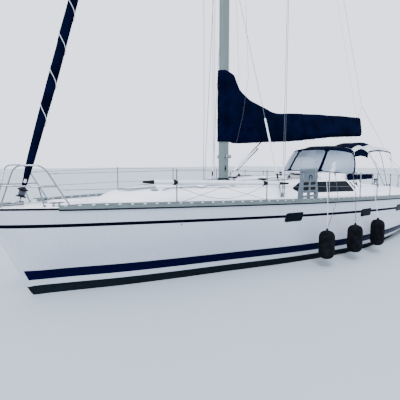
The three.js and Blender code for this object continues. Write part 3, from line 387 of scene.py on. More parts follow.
def acrylic_canvas(name, low, high):
    """Woven acrylic awning cloth: matt and dark with a faint sheen, weathered paler in patches and creased.
    Its threads are drawn four millimetres apart, coarser than the real half millimetre, so that they show."""
    made, tree, shader = blank(name, low, 0.95, **{"Specular IOR Level": 0.015})
    thread = {"Vector": add(tree, "TexCoord", out="UV"), "Scale": 12.5, "Distortion": 0.4}
    bands = [add(tree, "TexWave", thread, out="Fac", bands_direction=direction) for direction in ("X", "Y")]
    weave = add(tree, "Math", *bands, operation="MULTIPLY")
    blotch = add(tree, "Math", spots(tree, 30, 4), 0.3, operation="MULTIPLY")
    fade = add(tree, "Math", spots(tree, 350, 5), 0.7, blotch, operation="MULTIPLY_ADD")
    shade = add(tree, "Mix", add(tree, "MapRange", fade, 0.35, 0.68), low, high, data_type="RGBA")
    # The colour is darkened in the gaps between the threads: painted shade in the weave.
    depth = add(tree, "MapRange", weave, 0, 1, 0.82, 1.12)
    feed(tree, shader, {"Base Color": add(tree, "HueSaturation", {"Color": shade, "Value": depth})})
    lie = add(tree, "Mapping", {"Vector": add(tree, "TexCoord", out="Object"), "Rotation": (0, 0.5, 0)})
    folds = add(tree, "TexNoise", {"Vector": lie, "Scale": 3.2, "Detail": 4, "Distortion": 0.7})
    raised(tree, shader, weave, 0.5, Normal=raised(tree, shader, folds, 12))
    return made


def clear_vinyl():
    """Flexible window vinyl: clear with a milky bloom and slow ripples, and a painted reflection of the roof that
    darkens it up high.
    """
    made, tree, shader = blank("clear_window_vinyl", "8e9dab", 0.14, Alpha=0.6)
    bloom = spots(tree, 420, 2)
    height = add(tree, "SeparateXYZ", add(tree, "TexCoord", out="Object"), out="Z")
    # Painted reflection: from 2.25 m up the vinyl is coloured darker and made more opaque, as if mirroring the roof
    # over it.
    high = add(tree, "MapRange", height, 2.25, 2.5)
    pale = add(tree, "Mix", bloom, "6c8092", "8f9fad", data_type="RGBA")
    bloomed = add(tree, "MapRange", bloom, 0.35, 0.7, 0.6, 0.76)
    feed(tree, shader, {
        "Base Color": add(tree, "Mix", high, pale, "5b6c7c", data_type="RGBA"),
        "Alpha": add(tree, "Math", high, 0.15, bloomed, operation="MULTIPLY_ADD"),
    })
    raised(tree, shader, spots(tree, 260, 1), 4)
    return made


def smoked_acrylic(name, low, high):
    """Cast acrylic sheet, smoked: glossy, with fine wiping scratches."""
    made, tree, shader = blank(name, low, 0.07, **{"Specular IOR Level": 0.03})
    haze = spots(tree, 140, 5, stretch=(1, 1, 0.3))
    feed(tree, shader, {
        "Base Color": add(tree, "Mix", haze, low, high, data_type="RGBA"),
        "Roughness": add(tree, "MapRange", haze, 0.3, 0.75, 0.05, 0.2),
    })
    return made


def moulded(name, low, high, roughness=0.45, gloss=0.4):
    """Injection-moulded plastic: an even colour with a fine spark-eroded texture and slight sun bloom."""
    made, tree, shader = blank(name, low, roughness, **{"Specular IOR Level": gloss})
    feed(tree, shader, {"Base Color": add(tree, "Mix", spots(tree, 70, 4), low, high, data_type="RGBA")})
    raised(tree, shader, spots(tree, 1.5, 1), 0.1)
    return made


def zinc_steel():
    """Hot-dip galvanised steel: dull grey with large zinc spangles and white bloom."""
    made, tree, shader = blank("hot_dip_galvanised", "8d9396", 0.5, 0.7)
    at = {"Vector": add(tree, "TexCoord", out="Object"), "Scale": 70}
    spangle = add(tree, "TexVoronoi", at, out="Color")
    feed(tree, shader, {"Base Color": add(tree, "Mix", spangle, "7d8386", "a5abad", data_type="RGBA")})
    raised(tree, shader, spangle.node.outputs["Distance"], 0.3)
    return made


def cast_bronze():
    """Cast propeller bronze: warm brown gold with a dull green bloom."""
    made, tree, shader = blank("cast_bronze", "8d6d36", 0.42, 0.9)
    bloom = add(tree, "MapRange", spots(tree, 60, 5), 0.5, 0.75)
    feed(tree, shader, {"Base Color": add(tree, "Mix", bloom, "97743a", "5f7a62", data_type="RGBA")})
    raised(tree, shader, spots(tree, 8, 4), 0.2)
    return made


def copper_antifouling():
    """Rolled-on antifouling: matt charcoal with roller stipple and chalky wear."""
    made, tree, shader = blank("rolled_antifouling", "0f151a", 0.85, **{"Specular IOR Level": 0.15})
    wear = spots(tree, 150, 6)
    feed(tree, shader, {"Base Color": add(tree, "Mix", wear, "0b1015", "161c21", data_type="RGBA")})
    raised(tree, shader, spots(tree, 7, 3), 0.5)
    return made


def braid(name, low, high):
    """Braided polyester line: a herringbone of plaits round it. Its UV map runs along and round it in metres."""
    made, tree, shader = blank(name, low, 0.85, **{"Sheen Weight": 0.3})
    flat = add(tree, "TexCoord", out="UV")
    plaits = []
    for lay in (0.8, -0.8):
        strands = add(tree, "Mapping", {"Vector": flat, "Rotation": (0, 0, lay)})
        plaits.append(add(tree, "TexWave", {"Vector": strands, "Scale": 22, "Distortion": 0.0}, out="Fac"))
    plait = add(tree, "Math", *plaits, operation="MAXIMUM")
    # The grooves between the plaits take the darker colour: painted shade.
    feed(tree, shader, {"Base Color": add(tree, "Mix", plait, low, high, data_type="RGBA")})
    raised(tree, shader, plait, 0.8)
    return made


def knitted(name, low, high):
    """Knitted polyester fender cover: matt, near black, with fine vertical ribs and paler scuffs."""
    made, tree, shader = blank(name, low, 0.95, **{"Specular IOR Level": 0.1})
    flat = add(tree, "TexCoord", out="UV")
    ribs, rows = [
        add(tree, "TexWave", {"Vector": flat, "Scale": scale, "Distortion": bend}, out="Fac",
            bands_direction=way)
        for way, scale, bend in (("Y", 18, 0.3), ("X", 14, 0.6))
    ]
    knit = add(tree, "Math", ribs, rows, operation="MULTIPLY")
    # The gaps between ribs and rows take the darker colour: painted shade in the knit.
    wool = add(tree, "Mix", knit, low, high, data_type="RGBA")
    scuff = add(tree, "MapRange", spots(tree, 90, 5), 0.45, 0.8)
    feed(tree, shader, {"Base Color": add(tree, "Mix", scuff, wool, "14161d", data_type="RGBA")})
    raised(tree, shader, knit, 1.6)
    return made


def oiled_teak():
    """Weathered teak: straight brown-grey grain."""
    made, tree, shader = blank("weathered_teak", "8a6a4a", 0.65)
    grain = spots(tree, 14, 6, stretch=(0.06, 1, 1))
    feed(tree, shader, {"Base Color": add(tree, "Mix", grain, "6d5137", "a88a67", data_type="RGBA")})
    raised(tree, shader, grain, 0.5)
    return made


FINISH = {
    "hull": painted_hull(),
    "deck": deck_gelcoat(),
    # The toe rail's grey is partly its own anodised colour and partly painted shade along the rail, so it is set
    # darker than the other alloy.
    "rail": anodised("anodised_toe_rail", "6d7878"),
    "alloy": anodised("anodised_alloy", "a9afb1"),
    "spar": spar_paint("enamelled_spar", "5a6967"),
    "white_spar": spar_paint("white_enamelled_tube", "d4dadd"),
    "steel": stainless_steel(),
    "wire": wire_rope(),
    "canvas": acrylic_canvas("navy_acrylic_canvas", "01030f", "040a27"),
    "pale_canvas": acrylic_canvas("pale_acrylic_canvas", "b9c0c6", "dfe4e8"),
    "vinyl": clear_vinyl(),
    "glass": smoked_acrylic("smoked_acrylic", "03060a", "0b141d"),
    "hatch_glass": smoked_acrylic("pale_smoked_acrylic", "a3aeb5", "c3ccd2"),
    "white": moulded("white_moulded_plastic", "d9dde1", "e9ecef"),
    "grey": moulded("grey_moulded_plastic", "48535a", "5b676e", 0.5, 0.3),
    "black": moulded("black_moulded_nylon", "08090c", "14171b", 0.5, 0.1),
    "rubber": moulded("black_rubber_gasket", "08090b", "121417", 0.7, 0.08),
    "red": moulded("red_lens", "7c1216", "96181b", 0.15),
    "green": moulded("green_lens", "0f5a35", "177247", 0.15),
    "zinc": zinc_steel(),
    "bronze": cast_bronze(),
    "antifouling": copper_antifouling(),
    "white_rope": braid("white_braided_line", "8e9499", "dfe3e6"),
    "grey_rope": braid("grey_braided_line", "59636a", "b4bdc2"),
    "dark_rope": braid("dark_braided_line", "10131c", "3a4154"),
    "red_rope": braid("red_braided_line", "4d0f18", "a3414c"),
    "fender": knitted("knitted_fender_cover", "020306", "07080e"),
    "teak": oiled_teak(),
}

# Mesh building


def circle(count, start=0.0):
    """The cosine and sine of count evenly spaced angles."""
    angles = [start + 2 * math.pi * i / count for i in range(count)]
    return [(math.cos(angle), math.sin(angle)) for angle in angles]


def rectangle(x0, y0, x1, y1):
    return [(x0, y0), (x1, y0), (x1, y1), (x0, y1)]


def eased_outline(corners, radius, steps=4):
    """A closed outline on the flat, with its corners eased."""
    return [(p.x, p.y) for p in rounded([(*corner, 0) for corner in corners], radius, steps, True)]


def edges_of(ring):
    """The edges between the vertices of a ring."""
    return [e for e in {e for v in ring for e in v.link_edges} if all(v in ring for v in e.verts)]


def skin(rings, closed=True, joined=False):
    """Cross sections joined into one skin: the first is drawn, then extruded from each section to the next.
    Its ends are capped, or joined to each other. Its UV map is in metres, along the skin and round it."""
    bm = bmesh.new()
    drawn = [bm.verts.new(p) for p in rings[0]]
    count = len(drawn)
    edges = [bm.edges.new((drawn[i], drawn[(i + 1) % count])) for i in range(count if closed else count - 1)]
    where = {}
    ahead = 0.0
    row = last = drawn
    for k, ring in enumerate(rings):
        if k:
            grown = bmesh.ops.extrude_edge_only(bm, edges=edges)["geom"]
            fresh = {g for g in grown if isinstance(g, bmesh.types.BMVert)}
            row = [next(e.other_vert(v) for e in v.link_edges if e.other_vert(v) in fresh) for v in last]
            edges = [g for g in grown if isinstance(g, bmesh.types.BMEdge) and set(g.verts) <= fresh]
            ahead += (Vector(ring[count // 2]) - Vector(rings[k - 1][count // 2])).length
            last = row
        round_it = 0.0
        for i, vert in enumerate(row):
            vert.co = ring[i]
            round_it += (Vector(ring[i]) - Vector(ring[i - 1])).length if i else 0.0
            where[vert] = (ahead, round_it)
    uv = bm.loops.layers.uv.new("UVMap")
    for face in bm.faces:
        places = [where[loop.vert] for loop in face.loops]
        girth = max(p[1] for p in places)
        for loop, (u, v) in zip(face.loops, places):
            step = (loop.vert.co - loop.link_loop_next.vert.co).length
            wraps = closed and v == 0.0 and girth > 2.5 * step + 0.001 and count > 4
            loop[uv].uv = (u, girth + step if wraps else v)
    if joined:
        bmesh.ops.bridge_loops(bm, edges=edges_of(drawn) + edges_of(last))
    elif closed:
        for ring in (drawn, last):
            bmesh.ops.contextual_create(bm, geom=edges_of(ring))
    return bm


def ring_at(centre, heading, radius, sides):
    """A circle of points about a heading."""
    turn = heading.to_track_quat("Z", "Y").to_matrix()
    return [centre + turn @ Vector((radius * x, radius * y, 0)) for x, y in circle(sides)]


def sweep(path, radius, sides=8):
    """A round bar along a path, with its sections turned no more than the path turns them."""
    path = [Vector(p) for p in path]
    radii = list(radius) if isinstance(radius, (list, tuple)) else [radius] * len(path)
    headings = [(b - a).normalized() for a, b in zip(path, path[1:])]
    facing = headings[0]
    spin = facing.to_track_quat("Z", "Y")
    rings = []
    for i, centre in enumerate(path):
        middle = (headings[max(i - 1, 0)] + headings[min(i, len(headings) - 1)]).normalized()
        if i:
            spin = facing.rotation_difference(middle) @ spin
        facing = middle
        rings.append([centre + spin @ Vector((radii[i] * x, radii[i] * y, 0)) for x, y in circle(sides)])
    return skin(rings)


def hoop(path, radius, sides=6):
    """A round bar along a closed path."""
    rings = []
    for i, centre in enumerate(path):
        heading = (path[(i + 1) % len(path)] - path[i - 1]).normalized()
        rings.append(ring_at(centre, heading, radius, sides))
    return skin(rings, joined=True)


def oriented(foot, heading, up="Y"):
    return Matrix.Translation(foot) @ Vector(heading).to_track_quat("Z", up).to_matrix().to_4x4()


def turned(profile, foot, heading=(0, 0, 1), steps=24):
    """A body turned on a lathe: the profile lists radius and distance along the axis."""
    bm = bmesh.new()
    line = [bm.verts.new((radius, 0, along)) for radius, along in profile]
    edges = [bm.edges.new(pair) for pair in zip(line, line[1:])]
    bmesh.ops.spin(bm, geom=[*line, *edges], cent=(0, 0, 0), axis=(0, 0, 1), angle=2 * math.pi,
                   steps=steps, use_merge=True)
    bmesh.ops.remove_doubles(bm, verts=bm.verts, dist=1e-5)
    bmesh.ops.transform(bm, matrix=oriented(foot, heading), verts=bm.verts)
    return bm


def eased(bm, width, segments=2, angle=0.6):
    """Rounds every edge that is sharper than an angle."""
    sharp = [e for e in bm.edges if len(e.link_faces) == 2 and e.calc_face_angle(0) > angle]
    bmesh.ops.bevel(bm, geom=sharp, offset=width, segments=segments, profile=0.5, affect="EDGES",
                    material=-1, clamp_overlap=True)
    return bm


def slab(low, high, ease=0.002, segments=2):
    """A block between two corners with its edges rounded."""
    low, high = Vector(low), Vector(high)
    bm = bmesh.new()
    size = high - low
    bmesh.ops.create_cube(bm, size=1, matrix=Matrix.Translation((low + high) / 2) @ Matrix.Diagonal((*size, 1)))
    return eased(bm, min(ease, min(size) * 0.45), segments) if ease else bm


def block(a, b, ease=0.002, segments=2):
    """A slab between any two opposite corners, each given by its distance aft, breadth and height."""
    spans = list(zip(place(*a), place(*b)))
    return slab([min(span) for span in spans], [max(span) for span in spans], ease, segments)


def around(at, low, high, ease):
    """A slab between two corners, each given from a point."""
    return slab(at + Vector(low), at + Vector(high), ease)


def plate(outline, thickness, ease):
    """A flat plate of an outline in space, thickened along its normal."""
    bm = bmesh.new()
    face = bm.faces.new([bm.verts.new(p) for p in outline])
    bm.normal_update()
    shift = face.normal * thickness
    grown = bmesh.ops.extrude_face_region(bm, geom=[face])["geom"]
    moved = [g for g in grown if isinstance(g, bmesh.types.BMVert)]
    bmesh.ops.translate(bm, vec=shift, verts=moved)
    bmesh.ops.recalc_face_normals(bm, faces=bm.faces)
    return eased(bm, ease)


def ball(centre, radius, steps=16):
    bm = bmesh.new()
    bmesh.ops.create_uvsphere(bm, u_segments=steps, v_segments=steps // 2, radius=radius,
                              matrix=Matrix.Translation(centre))
    return bm


def bar(a, b, radius, sides=12, ease=0.0):
    """A straight round bar between two points."""
    a, b = Vector(a), Vector(b)
    bm = bmesh.new()
    bmesh.ops.create_cone(bm, cap_ends=True, segments=sides, radius1=radius, radius2=radius,
                          depth=(b - a).length, matrix=oriented((a + b) / 2, b - a))
    return eased(bm, ease) if ease else bm


def pour(part, into):
    """Moves a solid into a mesh that may hold others."""
    mesh = bpy.data.meshes.new("part")
    part.to_mesh(mesh)
    part.free()
    into.from_mesh(mesh)
    bpy.data.meshes.remove(mesh)


def together(*parts):
    """Several separate solids in one mesh."""
    whole = bmesh.new()
    for part in parts:
        pour(part, whole)
    return whole


class Assembly:
    """The solids of one piece, gathered into one mesh, each with its own finish."""

    def __init__(self, *finishes):
        self.bm = bmesh.new()
        self.finishes = list(finishes)

    def put(self, part, finish):
        if finish not in self.finishes:
            self.finishes.append(finish)
        for face in part.faces:
            face.material_index = self.finishes.index(finish)
        pour(part, self.bm)

    def object(self, name, smooth=0.6):
        bmesh.ops.recalc_face_normals(self.bm, faces=self.bm.faces)
        mesh = bpy.data.meshes.new(name)
        self.bm.to_mesh(mesh)
        self.bm.free()
        for finish in self.finishes:
            mesh.materials.append(FINISH[finish])
        mesh.polygons.foreach_set("use_smooth", [True] * len(mesh.polygons))
        mesh.set_sharp_from_angle(angle=smooth)
        made = bpy.data.objects.new(name, mesh)
        bpy.context.scene.collection.objects.link(made)
        return made

    def mount(self, name, slot, body="root", replaces=(), smooth=0.6):
        return aboard(self.object(name, smooth), slot, body, replaces)


def stands_for(slot, replaces):
    """Hides the nodes that a finished object stands for. Its slot is not used."""
    if replaces:
        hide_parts(*replaces)


def aboard(made, slot, body="root", replaces=()):
    """For a finished object that moves with one body."""
    stands_for(slot, replaces)
    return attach(made, body)


def crossing(made, slot, replaces=()):
    """For a finished object that runs from the mast to the boom, with its placing baked into its mesh."""
    stands_for(slot, replaces)
    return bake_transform(made)


def one(name, part, finish, slot, **mounting):
    """A piece made of a single solid."""
    kit = Assembly()
    kit.put(part, finish)
    return kit.mount(name, slot, **mounting)


def finished(made, kind, **settings):
    """Adds a modifier with its settings, and turns what it gives into the object's mesh."""
    modifier = made.modifiers.new(kind.lower(), kind)
    for name, value in settings.items():
        setattr(modifier, name, value)
    ready = made.evaluated_get(bpy.context.evaluated_depsgraph_get())
    mesh = bpy.data.meshes.new_from_object(ready)
    old = made.data
    made.modifiers.clear()
    made.data = mesh
    bpy.data.meshes.remove(old)
    mesh.name = made.name
    return made


def carve(made, *cutters):
    """Cuts meshes out of an object."""
    for cutter in cutters:
        tool = Assembly()
        tool.put(cutter, "black")
        blade = tool.object("cutter")
        finished(made, "BOOLEAN", operation="DIFFERENCE", solver="EXACT", object=blade)
        bpy.data.objects.remove(blade)
    made.data.set_sharp_from_angle(angle=0.6)


def surface(node):
    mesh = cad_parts[node].data
    return BVHTree.FromPolygons([v.co for v in mesh.vertices], [p.vertices for p in mesh.polygons])


DECK_SURFACE, HULL_SURFACE = surface("deck"), surface("hull")


def on_deck(aft, y, above=0.0, drop_from=2.3):
    """The point on the deck moulding under a height."""
    hit = DECK_SURFACE.ray_cast(place(aft, y, drop_from), Vector((0, 0, -1)))[0]
    return (hit if hit is not None else place(aft, y, deck_top(aft, y))) + Vector((0, 0, above))


def on_hull(aft, z, side):
    """The point on the outside of the hull at a height."""
    return HULL_SURFACE.ray_cast(place(aft, side * 4, z), Vector((0, -side, 0)))[0]


# Hull


def hull_half(aft, rows, inset=0.0):
    """The starboard half of a hull section, from the centreline at the bottom to the sheer."""
    bottom, low_height, low_half, edge = faired(HULL_LINES, aft)
    top = sheer(aft)
    floor = bottom + inset
    marks = [
        (0, floor), (0.72 * low_half, floor + 0.24 * (low_height - bottom)), (low_half, low_height),
        (low_half + 0.6 * (edge - low_half), (low_height + top) / 2), (edge, top),
    ]
    return [place(aft, max(i * 0.005 / rows, y - inset), z) for i, (y, z) in enumerate(curve(marks, rows))]


def hull_ring(aft, rows=44, inset=0.0):
    half = hull_half(aft, rows, inset)
    if inset:
        half.append(half[-1] + Vector((0, 0, inset)))
    return [*reversed(half), *mirror_y(half[1:])]


def across(outline, low, high):
    """A solid whose outline is drawn in distance aft and height, from one breadth to another."""
    return skin([[place(aft, y, z) for aft, z in outline] for y in (low, high)])


def open_box(aft_low, aft_high, half, floor, top):
    return slab(place(aft_low, -half, floor), place(aft_high, half, top), 0)


def hull_piece():
    stations = [HULL_END * (i / 96) ** 1.45 for i in range(97)]
    kit = Assembly()
    kit.put(skin([hull_ring(aft) for aft in stations]), "hull")
    hull = kit.object("hull_shell")
    slope = [(DECK_END, 1.4), (12.23, STEP_HEIGHT), (12.23, 0), (12.7, 0), (12.7, 1.6), (DECK_END, 1.6)]
    inner = skin([hull_ring(1.5 + (11.38 - 1.5) * i / 30, 24, HULL_SKIN) for i in range(31)])
    carve(
        hull, across(slope, -2.2, 2.2), open_box(STEP_START, 12.9, STEP_HALF, STEP_HEIGHT, 1.7),
        open_box(11.2, 12.9, WELL_HALF, SOLE, 1.7), open_box(11.3, 11.5, SEAT_HALF, SEAT, 1.7), inner,
        bar(place(11.0, 0, -0.6), place(11.0, 0, 0.7), 0.0362, 32),
    )
    aboard(hull, "hull_paint", replaces=["hull"])


hull_piece()


def skin_point(section, aft, z, side, proud):
    """A point on the side of a section at a height, moved outwards a little."""
    line = sorted(section(aft), key=lambda p: p.z)
    y = float(np.interp(z, [p.z for p in line], [p.y for p in line]))
    return place(aft, side * (y + proud), z)


def pane(columns, section, side, proud, depth):
    """A panel that follows a section's side. Each column is a distance aft with its lowest and highest point."""
    rings = []
    for aft, low, high in columns:
        rows = [low + (high - low) * k / 6 for k in range(7)]
        outer = [skin_point(section, aft, z, side, proud) for z in rows]
        inner = [skin_point(section, aft, z, side, proud - depth) for z in reversed(rows)]
        rings.append(outer + inner)
    return skin(rings)


def rounded_columns(start, end, low, high, radius, count=18):
    """Columns of a rectangle with rounded corners."""
    columns = []
    for i in range(count + 1):
        aft = start + (end - start) * (1 - math.cos(math.pi * i / count)) / 2
        reach = max(0.0, radius - min(aft - start, end - aft))
        trim = radius - math.sqrt(max(0.0, radius**2 - reach**2)) - (0.0 if 0 < i < count else 0.001)
        columns.append((aft, low + trim, high - trim))
    return columns


def hull_ports():
    section = functools.partial(hull_half, rows=44)
    kit = Assembly()
    for side in (PORT, STARBOARD):
        for start, end, low, high in HULL_PORTS:
            kit.put(pane(rounded_columns(start, end, low, high, 0.05), section, side, 0.004, 0.02), "glass")
            edge = eased_outline(rectangle(start, low, end, high), 0.05, 5)
            kit.put(hoop([skin_point(section, aft, z, side, 0.003) for aft, z in edge], 0.005), "black")
    kit.mount("hull_ports", "dark_glass")


hull_ports()


# Deck, coachroof and cockpit moulding


def roof_marks(aft):
    """The starboard half of the coachroof's section, from the side deck up to the centreline."""
    half, shoulder, crown = faired(ROOF_LINES, max(aft, ROOF_START))
    foot = sheer(aft) + 0.005
    turn = min(0.17, 0.5 * half)
    rise = shoulder - foot
    low = deck_top(aft, half)
    return [
        (half + 0.045, low), (half + 0.004, low + 0.012), (half - 0.4 * turn, foot + 0.72 * rise),
        (half - 0.62 * turn, foot + 0.93 * rise), (half - turn, shoulder),
        (0.45 * half, crown - 0.2 * (crown - shoulder)), (0, crown),
    ]


def roof_half(aft):
    """Points of the section, 32 of them, no lower than the deck."""
    if aft < ROOF_START:
        width = 0.165 * deck_half(aft) / deck_half(ROOF_START)
        return [place(aft, width * (1 - i / 31), deck_top(aft, width * (1 - i / 31))) for i in range(32)]
    return [place(aft, y, max(z, deck_top(aft, y))) for y, z in curve(roof_marks(aft), 31)]


def cockpit_half(aft):
    top = float(np.interp(aft, [8.9, 9.15, 10.9, 11.45, 11.6, 11.75], [1.722, 1.61, 1.48, 1.38, 1.19, 1.13]))
    outer = float(np.interp(aft, [8.9, 9.6], [1.13, 1.21]))
    deck = deck_top(aft, 1.235)
    top = max(top, deck + 0.004)
    corners = [
        (1.3, deck_top(aft, 1.3)), (1.24, deck), (outer, top), (1.035, top), (SEAT_HALF, SEAT),
        (WELL_HALF, SEAT), (WELL_HALF - 0.01, SOLE), (0, SOLE),
    ]
    return [place(aft, p.x, p.y) for p in rounded([(y, z, 0) for y, z in corners], 0.03)]


def deck_ring(aft, middle):
    edge = deck_half(aft) - 0.003
    start = middle[0].y
    brim = [(edge, sheer(aft) + 0.0003), (edge, deck_top(aft, edge) - 0.005),
            (edge - 0.006, deck_top(aft, edge))]
    side = [place(aft, y, z) for y, z in brim]
    for i in range(1, 10):
        y = edge - 0.006 + (start - edge + 0.006) * i / 10
        side.append(place(aft, y, deck_top(aft, y)))
    half = side + middle
    return [*half, *reversed(mirror_y(half[:-1]))]


def grip_at(aft, y, z):
    """How far a point of the deck lies inside the edge of a non-skid pad, in metres."""
    y = abs(y)
    edge = deck_half(aft) - 0.15 - y
    if aft > COMPANIONWAY:
        seat = min(SEAT_HALF - 0.07 - y, y - WELL_HALF - 0.05)
        sole = WELL_HALF - 0.06 - y
        return min(edge, y - 1.33) if z > SEAT + 0.05 else (seat if z > SEAT - 0.05 else sole)
    width = faired(ROOF_LINES, aft)[0] if aft > ROOF_START else 0.0
    top = min(width - 0.27 - y, aft - 2.7)
    if z > deck_top(aft, min(y, width)) + 0.12:
        return top
    return min(edge, y - width - 0.08 if aft > ROOF_START - 0.2 else edge, aft - 1.72)


def deck_moulding():
    fore = [0.06, 0.15, 0.27, 0.4, 0.55, 0.7, 0.9, 1.1, 1.3, 1.5, 1.65, 1.78]
    roof = [ROOF_START + 0.06 * i for i in range(12)] + [2.6 + 0.18 * i for i in range(35)] + [COMPANIONWAY]
    aft_part = [COMPANIONWAY, 9.0, 9.15, 9.4, 9.7, 10.1, 10.5, 10.9, 11.2, 11.45, 11.52, 11.6, DECK_END]
    rings = [deck_ring(aft, roof_half(aft)) for aft in fore + roof]
    rings += [deck_ring(aft, cockpit_half(aft)) for aft in aft_part]
    kit = Assembly()
    kit.put(skin(rings, closed=False), "deck")
    deck = kit.object("deck_moulding")
    if sum(p.normal.z * p.area for p in deck.data.polygons) < 0:
        deck.data.flip_normals()
    finished(deck, "SOLIDIFY", thickness=0.02, offset=-1)
    windows = [across(WINDOW, *sorted((side * 0.8, side * 1.5))) for side in (PORT, STARBOARD)]
    holes = [hatch_box(hatch, 0.04, -0.5, 0.3) for hatch in (HATCHES["fore"], HATCHES["saloon"])]
    carve(
        deck, *windows, *holes, open_box(1.14, 1.6, 0.19, 1.2, 1.7), open_box(8.2, 9.1, 0.29, 1.18, 2.1),
        open_box(11.49, 12.9, SEAT_HALF + 0.001, 0.3, 2.0),
    )
    grip = deck.data.attributes.new("grip", "FLOAT", "POINT")
    grip.data.foreach_set("value", [grip_at(v.co.x - STEM, v.co.y, v.co.z) for v in deck.data.vertices])
    aboard(deck, "gelcoat", replaces=["deck"])


def base_top(aft):
    crown = faired(ROOF_LINES, aft)[2] if ROOF_START < aft < COMPANIONWAY else 0
    return max(deck_top(aft, 0), crown)


def hatch_frame_of(hatch):
    """The hatch's own frame: its middle, at the top of its coaming, lying at the slope of the deck under it."""
    middle = hatch["hinge"] + hatch["length"] / 2
    slope = (base_top(middle + 0.2) - base_top(middle - 0.2)) / 0.4
    return (Matrix.Translation(place(middle, 0, base_top(middle) + hatch["frame"]))
            @ Matrix.Rotation(-math.atan(slope), 4, "Y"))


def hatch_box(hatch, inset, low, high, ease=0.0):
    reach = abs(hatch["length"]) / 2 - inset
    half = hatch["half"] - inset
    bm = slab((-reach, -half, low), (reach, half, high), ease)
    bmesh.ops.transform(bm, matrix=hatch_frame_of(hatch), verts=bm.verts)
    return bm


def hatch_ring(hatch, inset, width, low, high, corner=0.06):
    """A square-sectioned ring with rounded corners, inset from the hatch's edge."""
    reach, half = abs(hatch["length"]) / 2 - inset, hatch["half"] - inset
    path = [Vector((x, y, 0)) for x, y in eased_outline(rectangle(-reach, -half, reach, half), corner, 5)]
    rings = []
    for i, p in enumerate(path):
        inward = (path[(i + 1) % len(path)] - path[i - 1]).normalized().cross(Vector((0, 0, -1))) * width
        if inward.dot(p) > 0:
            inward = -inward
        rings.append([p + Vector((0, 0, low)), p + Vector((0, 0, high)),
                      p + inward + Vector((0, 0, high)), p + inward + Vector((0, 0, low))])
    bm = skin(rings, joined=True)
    bmesh.ops.transform(bm, matrix=hatch_frame_of(hatch), verts=bm.verts)
    return bm


def hatches():
    frames = Assembly()
    for name, hatch in HATCHES.items():
        lid = Assembly()
        if name == "anchor":
            lid.put(hatch_box(hatch, 0.0, 0.001, hatch["lid"], 0.006), "deck")
            for y in (-0.14, 0.14):
                knuckle = Matrix.Translation((0.262, y, 0.019))
                hinge = slab((-0.03, -0.03, -0.003), (0.008, 0.03, 0.002), 0.001)
                bmesh.ops.transform(hinge, matrix=hatch_frame_of(hatch) @ knuckle, verts=hinge.verts)
                lid.put(hinge, "steel")
            frames.put(hatch_ring(hatch, 0.0, 0.03, -0.03, 0.0), "deck")
        else:
            lid.put(hatch_ring(hatch, 0.0, 0.035, 0.001, hatch["lid"]), "alloy")
            lid.put(hatch_box(hatch, 0.033, 0.004, hatch["lid"] - 0.002, 0.003), "hatch_glass")
            frames.put(hatch_ring(hatch, 0.0, 0.035, -0.05, -0.002), "alloy")
            frames.put(hatch_ring(hatch, 0.012, 0.012, -0.002, 0.0005), "rubber")
        lid.mount(f"{name}_hatch_lid_trimmed", "gelcoat" if name == "anchor" else "dark_glass",
                  f"{name}_hatch", [f"{name}_hatch_lid"])
    for side in (PORT, STARBOARD):
        frames.put(block((7.52, side * 0.346, 1.79), (COMPANIONWAY, side * 0.376, 1.88), 0.004), "alloy")
    frames.mount("hatch_frames", "rail_aluminium")
    well = Assembly()
    for low, high in [
        ((1.12, -0.21, 1.18), (1.62, 0.21, 1.2)), ((1.12, -0.21, 1.2), (1.14, 0.21, 1.52)),
        ((1.6, -0.21, 1.2), (1.62, 0.21, 1.52)), ((1.14, -0.21, 1.2), (1.6, -0.19, 1.52)),
        ((1.14, 0.19, 1.2), (1.6, 0.21, 1.52)),
    ]:
        well.put(block(low, high, 0), "deck")
    well.mount("anchor_locker", "gelcoat")
    slide = Assembly()
    slide.put(block((8.06, -0.376, 1.8805), (8.93, 0.376, 1.902), 0.006), "hatch_glass")
    slide.put(block((8.885, -0.376, 1.8805), (8.93, 0.376, 1.902), 0.004), "alloy")
    slide.mount("companionway_slide_hatch", "dark_glass", "companionway_hatch", ["companionway_hatch"])
    board = Assembly()
    board.put(block((8.9005, -0.32, 1.15), (8.92, 0.32, 1.5), 0.004), "glass")
    board.put(block((8.9005, -0.32, 1.502), (8.92, 0.32, 1.84), 0.004), "glass")
    board.mount("washboards", "dark_glass", replaces=["washboard"])


deck_moulding()
hatches()


def window_columns(count=26):
    """Columns of the cabin window, between its upper edge and its lower one."""
    upper, lower = WINDOW[:4], [WINDOW[0], WINDOW[4], WINDOW[3]]
    columns = []
    for i in range(count + 1):
        aft = upper[0][0] + (upper[-1][0] - upper[0][0]) * i / count
        high, low = [float(np.interp(aft, *zip(*line))) for line in (upper, lower)]
        columns.append((aft, low - 0.001, high + 0.001))
    return columns


def cabin_windows():
    for name, side in SIDES.items():
        kit = Assembly()
        kit.put(pane(window_columns(), roof_half, side, -0.006, 0.012), "glass")
        edge = rounded([(aft, z, 0) for aft, z in WINDOW], 0.05, 5, True)
        dense = []
        for a, b in zip(edge, edge[1:] + edge[:1]):
            steps = max(1, int((b - a).length / 0.12))
            dense += [a.lerp(b, k / steps) for k in range(steps)]
        kit.put(hoop([skin_point(roof_half, p.x, p.y, side, 0.0) for p in dense], 0.009), "rubber")
        kit.mount(f"cabin_window_pane_{name}", "dark_glass", replaces=[f"cabin_window_{name}"])
    slats = Assembly()
    for side in (PORT, STARBOARD):
        for shift in (0.1, 0.26, 0.42):
            top, low = 8.36 + shift, 8.58 + shift
            corners = [(top, 1.7), (top + 0.07, 1.7), (low + 0.07, 1.5), (low, 1.5)]
            if corners[2][0] > 8.88:
                corners = [(top, 1.7), (top + 0.07, 1.7), (8.88, 1.6), (8.84, 1.57)]
            left = [skin_point(roof_half, a, z, side, 0.003) for a, z in corners]
            right = [skin_point(roof_half, a, z, side, -0.01) for a, z in corners]
            slats.put(skin([left, right]), "black")
    slats.mount("roof_side_vents", "dark_glass")


cabin_windows()
